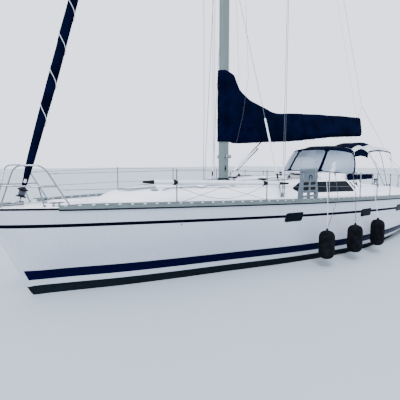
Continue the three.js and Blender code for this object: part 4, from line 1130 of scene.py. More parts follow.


# Toe rails with a slotted web, and black strips along the hull's edge and at its forward end that paint the shadow
# line under the rail


def slotted_unit(length, height, thick, slot_height):
    """One length of web with its slot, standing on the line y = 0, with open ends that meet the next one."""
    bm = bmesh.new()
    low, high = slot_height - 0.007, slot_height + 0.007
    left, right = length * 0.41, length * 0.59
    outer = [(0, 0), (left, 0), (length / 2, 0), (right, 0), (length, 0), (length, slot_height),
             (length, height), (right, height), (length / 2, height), (left, height), (0, height),
             (0, slot_height)]
    inner = [(left - 0.006, low + 0.004), (left + 0.002, low), (length / 2, low), (right - 0.002, low),
             (right + 0.006, low + 0.004), (right + 0.009, slot_height), (right + 0.006, high - 0.004),
             (right - 0.002, high), (length / 2, high), (left + 0.002, high), (left - 0.006, high - 0.004),
             (left - 0.009, slot_height)]
    rows = [[bm.verts.new((u, y, v)) for u, v in line]
            for line, y in ((outer, 0), (outer, thick), (inner, thick), (inner, 0))]
    count = len(outer)
    for k, row in enumerate(rows):
        above = rows[(k + 1) % 4]
        for i in range(count):
            j = (i + 1) % count
            ends_meet = k == 0 and i in (4, 5, 10, 11)
            if not ends_meet:
                bm.faces.new((row[i], row[j], above[j], above[i]))
    return bm


def along_edge(section, stops, side):
    """A strip along the hull's edge. Its section is given outwards from the edge and up from the sheer."""
    return skin([[place(aft, side * (deck_half(aft) + y), sheer(aft) + z) for y, z in section]
                 for aft in stops])


def toe_rails():
    length, count = 0.198, 54
    flange = [(-0.048, 0.027), (-0.048, 0.033), (0.007, 0.033), (0.011, 0.029), (0.011, -0.008),
              (0.004, -0.008), (0.004, 0.027)]
    # Below the flange's lip, and forward of the rail, a black band stands for the shadow line under the rail: painted
    # shadow.
    painted_shadow_band = [(0.001, -0.009), (0.0105, -0.009), (0.0105, -0.033), (0.001, -0.036)]
    strip = [(0.0015, 0.012), (0.007, 0.008), (0.007, -0.014), (0.0015, -0.02)]
    stops, fore = [RAIL_START + 0.1 * i for i in range(108)], [0.02 + 0.07 * i for i in range(15)]
    for name, side in SIDES.items():
        units = [slotted_unit(length, 0.046, 0.009, 0.022) for _ in range(count)]
        for i, unit in enumerate(units):
            bmesh.ops.translate(unit, vec=(i * length, 0, 0), verts=unit.verts)
        web = together(*units)
        bmesh.ops.remove_doubles(web, verts=web.verts, dist=1e-4)
        bmesh.ops.holes_fill(web, edges=[e for e in web.edges if e.is_boundary], sides=0)
        for vert in web.verts:
            aft, out, up = RAIL_START + vert.co.x, vert.co.y, vert.co.z
            up *= min(1.0, 0.35 + vert.co.x / 0.5)
            edge = deck_half(aft) - 0.023 + out
            vert.co = place(aft, side * edge, sheer(aft) + DECK_EDGE + 0.0075 + up)
        kit = Assembly()
        kit.put(web, "rail")
        for section, at, finish in ((flange, stops, "rail"), (painted_shadow_band, stops, "rubber"),
                                    (strip, fore, "rubber")):
            kit.put(along_edge(section, at, side), finish)
        kit.mount(f"slotted_toe_rail_{name}", "rail_aluminium", replaces=[f"toe_rail_{name}"])


toe_rails()


# Bow: stem fitting, anchor and pulpit


def side_plate(outline, low, high, ease=0.0015):
    """A plate drawn in distance aft and height, from one breadth to another."""
    return eased(across(outline, *sorted((low, high))), ease)


def foot(at, heading=(0, 0, 1), radius=0.036, bore=0.0125):
    """A round base plate with the collar that holds a tube."""
    profile = [(0, 0), (radius, 0), (radius, 0.003), (radius - 0.003, 0.0055), (bore + 0.005, 0.008),
               (bore + 0.004, 0.03), (bore + 0.0015, 0.033), (0, 0.033)]
    return turned(profile, at, heading, 20)


def tube(kit, corners, radius=0.0125, bend=0.09, finish="steel", sides=12):
    kit.put(sweep(rounded(corners, bend, 6), radius, sides), finish)


def stemhead():
    kit = Assembly()
    cheek = [(-0.06, 1.56), (-0.06, 1.54), (0.62, 1.52), (0.62, 1.6), (0.54, 1.6), (0.48, 1.565)]
    for side in (PORT, STARBOARD):
        kit.put(side_plate(cheek, side * 0.04, side * 0.046), "steel")
    kit.put(block((0.06, -0.046, 1.51), (0.62, 0.046, 1.549), 0.003), "steel")
    kit.put(block((0.545, -0.046, 1.584), (0.62, 0.046, 1.6), 0.002), "steel")
    roller = [(0, -0.038), (0.024, -0.038), (0.024, -0.03), (0.0095, -0.012), (0.0095, 0.012), (0.024, 0.03),
              (0.024, 0.038), (0, 0.038)]
    kit.put(turned(roller, place(-0.005, 0, 1.552), (0, 1, 0)), "black")
    kit.put(bar(place(-0.005, -0.05, 1.552), place(-0.005, 0.05, 1.552), 0.006, 12, 0.001), "steel")
    kit.put(bar(place(0.571, -0.05, 1.604), place(0.571, 0.05, 1.604), 0.007, 12, 0.001), "steel")
    kit.mount("stemhead_with_roller", "stainless", replaces=["stemhead_fitting"])


def plough(side):
    """One wing of the anchor's plough, from its keel out to its edge, curled a little."""
    rings = []
    for i in range(9):
        out = i / 8
        heel = Vector((-0.04, 0, 1.45)).lerp(Vector((-0.035, 0.168, 1.555)), out)
        tip = Vector((-0.15, 0, 1.3)).lerp(Vector((-0.185, 0.095, 1.4)), out)
        rows = []
        for k in range(7):
            curl = Vector((-0.25, 0, -1)) * 0.02 * math.sin(math.pi * out) * math.sin(math.pi * k / 6)
            rows.append(heel.lerp(tip, k / 6) + curl)
        back = [p + Vector((0.008, 0, 0.004)) for p in reversed(rows)]
        rings.append([place(p.x, side * p.y, p.z) for p in rows + back])
    return skin(rings)


def chain(kit, start, end, count):
    """Links of a chain between two points, every other one turned on its side."""
    start, end = place(*start), place(*end)
    heading = (end - start).normalized()
    turn = heading.to_track_quat("X", "Z")
    for i in range(count):
        middle = start.lerp(end, (i + 0.5) / count)
        flat = [(0.02 * x, 0.01 * y) for x, y in circle(12)]
        link = [middle + turn @ Vector((x, y, 0) if i % 2 else (x, 0, y)) for x, y in flat]
        kit.put(hoop(link, 0.004), "zinc")


def anchor():
    kit = Assembly()
    shank = [(-0.11, 1.575), (-0.06, 1.596), (0.43, 1.592), (0.43, 1.5614), (-0.04, 1.5614)]
    crown = [(-0.06, 1.596), (-0.035, 1.5614), (-0.06, 1.44), (-0.11, 1.33), (-0.15, 1.32), (-0.12, 1.45)]
    kit.put(side_plate(shank, -0.009, 0.009, 0.003), "zinc")
    kit.put(side_plate(crown, -0.012, 0.012, 0.003), "zinc")
    for side in (PORT, STARBOARD):
        kit.put(plough(side), "zinc")
    bow = [place(0.415 + 0.026 * math.sin(math.pi * k / 10), 0.018 * math.cos(math.pi * k / 10), 1.577)
           for k in range(11)]
    kit.put(sweep([place(0.395, 0.018, 1.577), *bow, place(0.395, -0.018, 1.577)], 0.0045, 8), "steel")
    kit.put(bar(place(0.4, -0.024, 1.577), place(0.4, 0.024, 1.577), 0.005, 8), "steel")
    chain(kit, (0.435, 0, 1.575), (0.66, 0, 1.562), 7)
    chain(kit, (0.66, 0, 1.562), (0.93, 0, 1.556), 8)
    kit.mount("plough_anchor", "galvanised", replaces=["anchor"])
    funnel = [(0, 0), (0.055, 0), (0.055, 0.004), (0.04, 0.012), (0.034, 0.03), (0.02, 0.034), (0, 0.034)]
    one("chain_pipe", turned(funnel, on_deck(0.96, 0)), "steel", "stainless")


PULPIT = {
    "front_foot": (0.25, 0.15, 1.525), "front_top": (0.44, 0.35, 2.18), "aft_top": (0.8, 0.56, 2.18),
    "aft_foot": (1.19, 0.612, 1.508), "middle_foot": (0.83, 0.452, 1.51), "middle_top": (0.735, 0.515, 1.85),
    "low": (0.99, 0.599, 1.85), "low_front": (0.35, 0.256, 1.87), "nose": (-0.06, 0.13, 1.885),
}
# Where the lifelines are made fast to the pulpit: distance aft, breadth and height
LINE_EYES = {"upper": (0.905, 0.578, 2.05), "lower": (1.07, 0.606, 1.79)}
# Where the lifelines are made fast to the pulpit: distance aft, breadth and height
LINE_EYES = {"upper": (0.905, 0.578, 2.05), "lower": (1.07, 0.606, 1.79)}

def pulpit():
    kit = Assembly()
    corner = {}
    for name, side in SIDES.items():
        corner[name] = {key: place(aft, side * y, z) for key, (aft, y, z) in PULPIT.items()}
        at = corner[name]
        tube(kit, [at["front_foot"], at["front_top"], at["aft_top"], at["aft_foot"]], bend=0.13)
        tube(kit, [at["middle_top"], at["middle_foot"]])
        for key in ("front_foot", "aft_foot", "middle_foot"):
            aft, y, _ = PULPIT[key]
            kit.put(foot(on_deck(aft, side * y, -0.001)), "steel")
        for aft, y, z in (LINE_EYES["upper"], LINE_EYES["lower"]):
            kit.put(bar(place(aft - 0.012, side * y, z), place(aft + 0.05, side * y, z), 0.0075, 10, 0.001),
                    "steel")
    low = [corner["port"][key] for key in ("low", "middle_top", "low_front", "nose")]
    tube(kit, [*low, *reversed(mirror_y(low))], bend=0.11)
    seat = eased_outline([(-0.02, -0.12), (0.3, -0.22), (0.3, 0.22), (-0.02, 0.12)], 0.05)
    kit.put(plate([place(aft, y, 1.884) for aft, y in seat], 0.018, 0.003), "teak")
    kit.mount("pulpit_tubes", "stainless", replaces=["pulpit"])
    lamp = Assembly()
    lamp.put(block((-0.055, -0.035, 1.905), (0.03, 0.035, 1.925), 0.006), "black")
    lamp.put(block((-0.05, -0.032, 1.925), (0.015, -0.001, 1.96), 0.008), "red")
    lamp.put(block((-0.05, 0.001, 1.925), (0.015, 0.032, 1.96), 0.008), "green")
    lamp.put(block((-0.055, -0.035, 1.96), (0.03, 0.035, 1.972), 0.005), "black")
    lamp.mount("bow_lamp", "grey_plastic")


stemhead()
anchor()
pulpit()


# Stanchions with their lifelines, and the pushpits


def over_deck(aft, y, above):
    return place(aft, y, deck_top(aft, y) + above)


def rail_point(aft, side, above):
    """A point over the line of the stanchions, at a height over the deck."""
    return over_deck(aft, side * (deck_half(aft) - STANCHION_INBOARD), above)


PUSHPIT_START, PUSHPIT_POST, PUSHPIT_CORNER, PUSHPIT_INNER = 10.44, 11.3, 11.64, 0.98
UPPER_LINE, LOWER_LINE = 0.588, 0.29


def stanchions():
    cap_profile = [(0, 0), (0.0135, 0), (0.0135, 0.008), (0.009, 0.014), (0, 0.016)]
    socket = [(0, 0), (0.021, 0), (0.021, 0.05), (0.0195, 0.062), (0.014, 0.066), (0, 0.066)]
    ferrule = [(0, -0.016), (0.0085, -0.016), (0.0085, 0.016), (0, 0.016)]
    for name, side in SIDES.items():
        kit = Assembly()
        for aft in STANCHIONS:
            low, high = rail_point(aft, side, -0.005), rail_point(aft, side, 0.606)
            kit.put(bar(low, high, 0.0125, 14), "steel")
            kit.put(turned(cap_profile, high, steps=14), "steel")
            kit.put(turned(socket, low, steps=16), "steel")
            base = [low + Vector((x, y, 0.004)) for x, y in rectangle(-0.05, -0.034, 0.05, 0.034)]
            kit.put(plate(base, 0.006, 0.002), "steel")
            for above in (UPPER_LINE, LOWER_LINE):
                kit.put(turned(ferrule, rail_point(aft, side, above), (1, 0, 0), 10), "steel")
            kit.put(bar(low + Vector((0.02, 0, 0.05)), low + Vector((0.034, 0, 0.05)), 0.004, 8), "steel")
        lines = []
        for above, (aft, y, z) in ((UPPER_LINE, LINE_EYES["upper"]), (LOWER_LINE, LINE_EYES["lower"])):
            posts = [rail_point(post, side, above) for post in [*STANCHIONS, PUSHPIT_START - 0.02]]
            lines.append([place(aft, side * y, z), *posts])
        for line in lines:
            kit.put(sweep(line, 0.004, 8), "wire")
            for a, b in ((line[0], line[1]), (line[-1], line[-2])):
                along = (b - a).normalized()
                kit.put(bar(a, a + along * 0.13, 0.0065, 10, 0.001), "steel")
                kit.put(bar(a + along * 0.05, a + along * 0.1, 0.009, 6), "steel")
            for a, b in ((line[4], line[5]), (line[5], line[4])):
                along = (b - a).normalized()
                kit.put(bar(a + along * 0.03, a + along * 0.11, 0.0075, 8, 0.001), "steel")
        kit.mount(f"stanchions_and_lifelines_{name}", "stainless", replaces=[f"stanchions_{name}"])


def pushpits():
    for name, side in SIDES.items():
        out = side * (deck_half(PUSHPIT_CORNER) - STANCHION_INBOARD - 0.04)
        start, post = [functools.partial(rail_point, aft, side) for aft in (PUSHPIT_START, PUSHPIT_POST)]
        corner = functools.partial(over_deck, PUSHPIT_CORNER, out)
        inner = functools.partial(over_deck, PUSHPIT_CORNER + 0.02, side * PUSHPIT_INNER)
        kit = Assembly()
        tube(kit, [start(-0.01), start(0.61), post(0.61), corner(0.61), inner(0.61), inner(-0.01)], bend=0.13)
        tube(kit, [start(0.3), post(0.3), corner(0.3), inner(0.3)], 0.009, 0.13)
        tube(kit, [post(-0.01), post(0.61)])
        for at in (start, post, inner):
            kit.put(foot(at(-0.001)), "steel")
        kit.mount(f"pushpit_tubes_{name}", "stainless", replaces=[f"pushpit_{name}"])


stanchions()
pushpits()


# Port side: the whisker pole on its brackets, the folded boarding steps and the fenders


def whisker_pole():
    fore_end, aft_end = (2.29, -0.965, 1.893), (5.23, -1.704, 1.794)
    start, end = place(*fore_end), place(*aft_end)
    along = end - start
    length = along.length
    barrel = [(0, 0.2), (0.034, 0.2), (0.04, 0.21), (0.042, 0.24), (0.042, length - 0.3),
              (0.04, length - 0.26), (0.036, length - 0.25), (0, length - 0.25)]
    near = [(0, 0), (0.012, 0), (0.02, 0.012), (0.022, 0.05), (0.026, 0.12), (0.034, 0.16), (0.037, 0.24),
            (0, 0.24)]
    far = [(0, length - 0.29), (0.034, length - 0.29), (0.03, length - 0.2), (0.022, length - 0.11),
           (0.019, length - 0.02), (0.012, length), (0, length)]
    saddle = [(0, -0.026), (0.05, -0.026), (0.052, 0), (0.05, 0.026), (0, 0.026)]
    clamp = [(0.0128, -0.03), (0.021, -0.03), (0.023, 0), (0.021, 0.03), (0.0128, 0.03), (0.0128, -0.03)]
    kit = Assembly()
    for profile, finish, steps in ((barrel, "white_spar", 28), (near, "black", 20), (far, "black", 20)):
        kit.put(turned(profile, start, along.normalized(), steps), finish)
    for aft in STANCHIONS[:2]:
        seat = start.lerp(end, (aft - fore_end[0]) / (aft_end[0] - fore_end[0]))
        post = -(deck_half(aft) - STANCHION_INBOARD)
        arm = (Vector((seat.x - 0.02, post + 0.013, seat.z - 0.012)),
               Vector((seat.x + 0.02, seat.y, seat.z + 0.012)))
        kit.put(slab(*arm, 0.003), "black")
        kit.put(turned(saddle, seat, along.normalized(), 28), "black")
        kit.put(turned(clamp, Vector((seat.x, post, seat.z)), steps=16), "black")
    line = start + Vector((0, 0, 0.046))
    kit.put(sweep([line + along * share for share in (0.1, 0.5, 0.9)], 0.004, 6), "white_rope")
    kit.mount("whisker_pole_dressed", "mast_aluminium", replaces=["whisker_pole"])


STEPS = {"start": 5.52, "end": 6.18, "low": 1.44, "high": 2.09, "thick": 0.045}


def on_lifeline(aft, above, side):
    before = [post for post in STANCHIONS if post <= aft][-1]
    after = [post for post in STANCHIONS if post > aft][0]
    share = (aft - before) / (after - before)
    return rail_point(before, side, above).lerp(rail_point(after, side, above), share)


def rounded_block(aft, z, width, height, low, high, radius):
    """A cutter across the steps, with rounded corners."""
    corners = rectangle(aft - width / 2, z - height / 2, aft + width / 2, z + height / 2)
    return across(eased_outline(corners, radius, 5), low, high)


def boarding_steps():
    start, end, low, high = [STEPS[key] for key in ("start", "end", "low", "high")]
    outer = on_lifeline(start, 0, PORT).y + 0.014
    inner = outer + STEPS["thick"]
    edge = [(start, low), (end, low), (end, 1.6), (6.14, 1.75), (6.14, high), (5.57, high), (5.57, 1.75),
            (start, 1.6)]
    kit = Assembly()
    kit.put(side_plate(eased_outline(edge, 0.03), outer, inner, 0.004), "grey")
    panel = kit.object("boarding_steps_moulded")
    holes = [rounded_block(aft, z, 0.19, tall, outer - 0.05, inner + 0.05, 0.045)
             for z, tall in ((1.455, 0.06), (1.556, 0.07), (1.668, 0.074), (1.772, 0.068))
             for aft in (5.745, 5.985)]
    seams = [block((5.5, outer - 0.01, z - 0.004), (6.2, outer + 0.006, z + 0.004), 0)
             for z in (1.832, 2.03, 1.612)]
    carve(panel, together(*holes), together(*seams))
    aboard(panel, "grey_plastic", replaces=["boarding_steps"])
    fittings = Assembly()
    fittings.put(block((5.64, outer + 0.008, 1.625), (6.095, outer + 0.014, 1.815), 0.001), "black")
    grip = [(5.835, 1.86), (5.835, 1.915), (5.85, 1.94), (5.885, 1.952), (5.92, 1.94), (5.935, 1.915),
            (5.935, 1.86)]
    fittings.put(sweep([place(aft, outer - 0.003, z) for aft, z in grip], 0.009, 8), "black")
    for aft in (start + 0.09, end - 0.09):
        line = on_lifeline(aft, UPPER_LINE, PORT)
        hook = [Vector((line.x, outer + 0.01, line.z - 0.04)), Vector((line.x, outer + 0.01, line.z + 0.01)),
                Vector((line.x, line.y, line.z + 0.016)), Vector((line.x, line.y - 0.013, line.z - 0.004))]
        fittings.put(sweep(rounded(hook, 0.02, 4), 0.005, 8), "black")
    for aft in (5.66, 5.885, 6.08):
        ends = [place(aft + reach, outer - 0.004, 1.832) for reach in (-0.03, 0.03)]
        fittings.put(bar(*ends, 0.007, 10, 0.001), "steel")
    for aft in (5.64, 6.06):
        fittings.put(sweep([place(aft, outer - 0.004, z) for z in (2.085, 2.0, 1.9)], 0.004, 6), "grey_rope")
    fittings.mount("boarding_steps_fittings", "grey_plastic")


# Each fender: distance aft, top, length, radius, and where its pendant is made fast to the lifeline
FENDERS = [("fore", 6.015, 0.8, 0.61, 0.165, 6.55), ("middle", 7.01, 0.825, 0.63, 0.165, 7.24),
           ("aft", 8.035, 0.85, 0.64, 0.16, 8.14)]


def fenders():
    dome = [(0.15, 0.001), (0.45, 0.012), (0.66, 0.028), (0.8, 0.05), (0.9, 0.075), (0.96, 0.105),
            (0.99, 0.135), (1, 0.17)]
    nozzle = [(0, -0.005), (0.03, -0.005), (0.026, 0.02), (0.018, 0.04), (0, 0.042)]
    for name, aft, top, length, radius, fast in FENDERS:
        y = -deck_half(aft) - radius - 0.012
        rise = [(radius * share, along) for share, along in dome]
        rows = rise + [(radius, 0.17 + (length - 0.34) * k / 6) for k in range(1, 6)]
        rows += [(r, length - along) for r, along in reversed(rise)]
        rings = [ring_at(place(aft, y, top - length + along), Vector((0, 0, 1)), r, 40) for r, along in rows]
        cover = one(f"fender_cover_{name}", skin(rings), "fender", "fender_cloth",
                    replaces=[f"fender_{name}"])
        kit = Assembly()
        eye = place(aft, y, top)
        kit.put(turned(nozzle, eye, steps=18), "rubber")
        line = on_lifeline(fast, UPPER_LINE, PORT)
        path = [eye + Vector((0, 0, 0.03)), over_rail(fast), line + Vector((0, -0.013, 0.009))]
        kit.put(sweep(rounded(path, 0.05, 5), 0.006, 8), "white_rope" if name == "aft" else "dark_rope")
        if name == "fore":
            second = on_lifeline(6.24, UPPER_LINE, PORT) + Vector((0, -0.013, 0.009))
            route = [eye + Vector((0.012, 0, 0.03)), over_rail(6.2), second]
            kit.put(sweep(rounded(route, 0.05, 5), 0.005, 8), "white_rope")
        loop = []
        for k in range(15):
            angle = math.pi * (0.75 - 1.65 * k / 14)
            turn = Vector((0.006 * k / 14, 0.016 * math.cos(angle), 0.012 * math.sin(angle) + 0.001))
            loop.append(line + turn)
        kit.put(sweep(loop, 0.005, 8), "dark_rope")
        for k in range(3):
            kit.put(knot_turn(path[2] - Vector((0, 0, 0.025 + 0.012 * k)), 0.012), "dark_rope")
        kit.mount(f"fender_pendant_{name}", "fender_cloth")


def over_rail(aft):
    """Where a fender's line passes over the port toe rail."""
    return place(aft, -deck_half(aft) - 0.026, sheer(aft) + DECK_EDGE + 0.06)


def knot_turn(centre, radius, thick=0.005):
    """One round turn of a line."""
    section = [(radius + thick * x, thick * y) for x, y in circle(8)]
    return turned([*section, section[0]], centre, steps=14)


whisker_pole()
boarding_steps()
fenders()


# Deck gear: cleats, winches, tracks, grab rails and vents


def cleats():
    post = [(0, 0), (0.022, 0), (0.016, 0.014), (0.014, 0.045), (0, 0.05)]
    sizes = [0.0145 * math.sqrt(max(0.12, 1 - (abs(k - 6) / 6) ** 3)) for k in range(13)]
    for end, aft, inboard in (("bow", 1.01, 0.15), ("stern", 11.25, 0.17)):
        for name, side in SIDES.items():
            base = over_deck(aft, side * (deck_half(aft) - inboard), 0)
            kit = Assembly()
            horn = [base + Vector((x, 0, 0.05 + 0.35 * x * x)) for x in [-0.13 + 0.26 * k / 12 for k in range(13)]]
            kit.put(sweep(horn, sizes, 14), "rail")
            for x in (-0.045, 0.045):
                kit.put(turned(post, base + Vector((x, 0, 0.003))), "rail")
            kit.put(around(base, (-0.075, -0.022, -0.006), (0.075, 0.022, 0.008), 0.005), "rail")
            kit.mount(f"horn_cleat_{end}_{name}", "rail_aluminium", replaces=[f"cleat_{end}_{name}"])


def winch(kit, at, radius):
    """A self-tailing winch: base, ribbed drum, jaws and the arm that feeds the line in."""
    base = [(0, 0), (1, 0), (1, 0.074), (0.97, 0.08), (0, 0.08)]
    drum = [(0, 0.08), (0.93, 0.08), (0.92, 0.086), (0.76, 0.102), (0.68, 0.13), (0.66, 0.186), (0.7, 0.196),
            (0.88, 0.204), (0.88, 0.208), (0, 0.208)]
    for profile, finish, steps in ((base, "black", 36), (drum, "steel", 40)):
        kit.put(turned([(radius * share, z) for share, z in profile], at, steps=steps), finish)
    jaws = [(0, 0.208), (radius * 0.62, 0.208), (radius * 0.64, 0.222), (radius * 0.88, 0.222),
            (radius * 0.9, 0.228), (radius * 0.84, 0.24), (radius * 0.3, 0.243), (0.015, 0.243),
            (0.013, 0.236), (0.012, 0.21), (0, 0.21)]
    kit.put(turned(jaws, at, steps=40), "black")
    for x, y in circle(18):
        foot_of_rib, top_of_rib = [at + Vector((x * r, y * r, z)) for r, z in
                                   ((radius * 0.69, 0.106), (radius * 0.665, 0.188))]
        kit.put(bar(foot_of_rib, top_of_rib, 0.0022, 6), "steel")
    arm = [at + Vector((radius * share, 0, z)) for share, z in ((0.55, 0.243), (0.95, 0.241), (0.98, 0.2))]
    kit.put(sweep(rounded(arm, 0.015, 4), 0.006, 8), "steel")


def winches():
    for spot, aft, out, z, radius in (("cockpit", 9.9, 1.125, 1.5, 0.095), ("roof", 8.5, 0.76, 1.76, 0.075)):
        for name, side in SIDES.items():
            kit = Assembly()
            winch(kit, place(aft, side * out, z), radius)
            kit.mount(f"self_tailing_winch_{spot}_{name}", "stainless", replaces=[f"winch_{spot}_{name}"])


def grab_rail(side):
    """A rail along the roof with six feet and a rise between each two."""
    feet = [2.95, 3.75, 4.55, 5.35, 6.15, 6.95]
    stops = [(a + (b - a) * k / 6, 0.045 if k else 0.012) for a, b in zip(feet, feet[1:]) for k in range(6)]
    stops.append((feet[-1], 0.012))
    rail = [on_deck(aft, side * (faired(ROOF_LINES, aft)[0] - 0.3), above) for aft, above in stops]
    return sweep(curve(rail, len(rail) * 2 - 2), 0.0125, 10)


def deck_fittings():
    rail_section = [(-0.016, 0), (0.016, 0), (0.016, 0.012), (0.009, 0.012), (0.009, 0.02), (-0.009, 0.02),
                    (-0.009, 0.012), (-0.016, 0.012)]
    sheave = [(0, -0.012), (0.03, -0.012), (0.026, 0), (0.03, 0.012), (0, 0.012)]
    mushroom = [(0, 0), (0.085, 0), (0.085, 0.006), (0.07, 0.02), (0.035, 0.03), (0, 0.032)]
    kit = Assembly()
    for side in (PORT, STARBOARD):
        kit.put(grab_rail(side), "steel")
        track = [on_deck(5.3 + 0.12 * k, side * 0.86, 0.004) for k in range(20)]
        kit.put(skin([[p + Vector((0, y, z)) for y, z in rail_section] for p in track]), "alloy")
        car = on_deck(6.3, side * 0.86)
        kit.put(around(car, (-0.06, -0.026, 0.02), (0.06, 0.026, 0.045), 0.006), "black")
        kit.put(turned(sheave, car + Vector((0, 0, 0.07)), (0, 1, 0)), "black")
        for y in (0.48, 0.54, 0.6):
            clutch = on_deck(7.72, side * y)
            kit.put(around(clutch, (-0.09, -0.024, 0), (0.09, 0.024, 0.05), 0.008), "black")
            kit.put(around(clutch, (-0.08, -0.012, 0.05), (0.03, 0.012, 0.062), 0.004), "white")
        for aft, y in ((2.85, 0.42), (6.72, 0.5)):
            kit.put(turned(mushroom, on_deck(aft, side * y), steps=28), "steel")
    kit.mount("roof_rails_tracks_and_vents", "stainless")
    skin_fitting = [(0, -0.002), (0.02, -0.002), (0.019, 0.004), (0.011, 0.005), (0.01, 0.001), (0, 0.001)]
    outlets = Assembly()
    for aft, z in ((2.95, 1.13), (6.6, 1.05), (9.2, 0.35)):
        for side in (PORT, STARBOARD):
            outlets.put(turned(skin_fitting, on_hull(aft, z, side), (0, side, 0), 20), "steel")
    outlets.mount("through_hull_fittings", "stainless")


cleats()
winches()
deck_fittings()


# Cockpit: pedestal, wheel and swim ladder

PEDESTAL, HUB, WHEEL, WHEEL_RADIUS = 10.15, 1.56, 10.3, 0.43


def box_ring(middle, z, half_x, half_y, corner):
    outline = eased_outline(rectangle(-half_x, -half_y, half_x, half_y), corner, 5)
    return [place(middle + x, y, z) for x, y in outline]


def pedestal():
    kit = Assembly()
    marks = [(0.705, 0.13, 0.11), (0.73, 0.128, 0.108), (0.78, 0.098, 0.094), (0.9, 0.074, 0.079),
             (1.2, 0.07, 0.078), (1.45, 0.07, 0.08), (1.55, 0.084, 0.094), (1.62, 0.108, 0.118),
             (1.69, 0.104, 0.114), (1.72, 0.088, 0.098)]
    kit.put(skin([box_ring(PEDESTAL, z, x, y, 0.05) for z, x, y in curve(marks, 45)]), "white")
    bowl = [(0, -0.005), (0.082, -0.005), (0.084, 0.035), (0.078, 0.04), (0, 0.04)]
    kit.put(turned(bowl, place(PEDESTAL, 0, 1.72), steps=36), "black")
    dome = [(0.076 * math.cos(t), 0.038 + 0.062 * math.sin(t)) for t in [math.pi / 2 * k / 10 for k in range(10)]]
    kit.put(turned([(0, 0.036), *dome, (0, 0.1)], place(PEDESTAL, 0, 1.72), steps=36), "glass")
    guard = [place(10.02, y, z) for y, z in ((-0.15, 0.705), (-0.15, 1.82), (0.15, 1.82), (0.15, 0.705))]
    tube(kit, guard, 0.0138, 0.1)
    for side in (PORT, STARBOARD):
        kit.put(foot(place(10.02, side * 0.15, 0.72), radius=0.04, bore=0.014), "steel")
        kit.put(bar(place(10.02, side * 0.15, 1.56), place(PEDESTAL, side * 0.06, 1.56), 0.009, 10), "steel")
        axle = [place(PEDESTAL - 0.03, side * y, 1.64) for y in (0.118, 0.138)]
        kit.put(bar(*axle, 0.016, 16, 0.002), "steel")
        lever = [place(PEDESTAL - back, side * y, z) for back, y, z in
                 ((0.03, 0.13, 1.64), (0.05, 0.142, 1.7), (0.06, 0.142, 1.77))]
        kit.put(sweep(rounded(lever, 0.03, 4), 0.005, 8), "steel")
        kit.put(ball(place(PEDESTAL - 0.06, side * 0.142, 1.775), 0.013, 14),
                "red" if side == PORT else "black")
    hub = [(0, 0), (0.048, 0), (0.048, 0.006), (0.042, 0.02), (0.042, 0.115), (0, 0.115)]
    kit.put(turned(hub, place(PEDESTAL, 0, HUB), (1, 0, 0), 32), "steel")
    tray = eased_outline(rectangle(9.86, -0.13, 9.99, 0.13), 0.03)
    kit.put(plate([place(aft + 0.148, y, 1.62) for aft, y in tray], 0.02, 0.004), "teak")
    kit.mount("steering_pedestal", "white_plastic", replaces=["pedestal"])


def steering_wheel():
    kit = Assembly()
    middle = place(WHEEL, 0, HUB)

    def at(angle, radius):
        return middle + Vector((0, radius * math.sin(angle), radius * math.cos(angle)))

    rim = [at(2 * math.pi * k / 72, WHEEL_RADIUS) for k in range(72)]
    kit.put(hoop(rim, 0.0135, 12), "steel")
    for angle in [i * math.pi / 3 for i in range(6)]:
        kit.put(sweep([at(angle, 0.034), at(angle, 0.2), at(angle, WHEEL_RADIUS - 0.006)], 0.0078, 12),
                "steel")
        ferrule = [(0, 0), (0.015, 0), (0.0085, 0.02), (0, 0.02)]
        kit.put(turned(ferrule, at(angle, 0.034), at(angle, 1) - middle, 14), "steel")
    hub = [(0, -0.034), (0.034, -0.034), (0.038, -0.026), (0.038, 0.018), (0.034, 0.022), (0, 0.022)]
    kit.put(turned(hub, middle, (1, 0, 0), 32), "steel")
    kit.put(turned([(0, 0.022), (0.022, 0.022), (0.02, 0.0245), (0, 0.025)], middle, (1, 0, 0), 24), "black")
    grip = [at(2 * math.pi * k / 72, WHEEL_RADIUS) for k in range(-3, 4)]
    kit.put(sweep(grip, 0.0155, 14), "white_rope")
    kit.mount("wheel_with_spokes", "stainless", body="steering_wheel", replaces=["steering_wheel"])


LADDER, LADDER_HINGE, LADDER_HALF, LADDER_LENGTH = 12.235, 0.395, 0.17, 0.9


def swim_ladder():
    kit = Assembly()

    def at(y, rise=0.0):
        return place(LADDER, y, LADDER_HINGE + rise)

    top = LADDER_LENGTH - 0.013
    tube(kit, [at(-LADDER_HALF), at(-LADDER_HALF, top), at(LADDER_HALF, top), at(LADDER_HALF)], 0.0135, 0.07)
    for rise in (0.18, 0.42, 0.66):
        low, high = at(-LADDER_HALF, rise), at(LADDER_HALF, rise)
        kit.put(bar(low, high, 0.0115, 14), "steel")
        kit.put(slab(low + Vector((-0.0135, 0.03, -0.013)), high + Vector((0.0135, -0.03, 0.013)), 0.004),
                "black")
    kit.put(bar(at(-0.204), at(0.204), 0.0135, 18, 0.001), "steel")
    lugs = Assembly()
    ear = eased_outline(rectangle(12.17, 0.34, 12.257, 0.415), 0.02)
    for side in (PORT, STARBOARD):
        bush = [(0, -0.02), (0.019, -0.02), (0.019, 0.02), (0, 0.02)]
        kit.put(turned(bush, at(side * LADDER_HALF), (0, 1, 0), 18), "steel")
        lugs.put(side_plate(ear, side * 0.2045, side * 0.2175), "steel")
        y = side * 0.211
        lugs.put(slab(place(12.17, y - 0.035, 0.33), place(12.203, y + 0.035, 0.425), 0.003), "steel")
    kit.mount("swim_ladder_tubes", "stainless", body="swim_ladder", replaces=["swim_ladder"])
    lugs.mount("swim_ladder_lugs", "stainless")


pedestal()
steering_wheel()
swim_ladder()


# Canvas: dodger, its weather cloths and the bimini


def wrinkled(at, size, depth):
    """A point moved a little by slow noise, as cloth held at its edges lies."""
    return Vector(at) + depth * Vector(noise.noise_vector(Vector(at) / size))


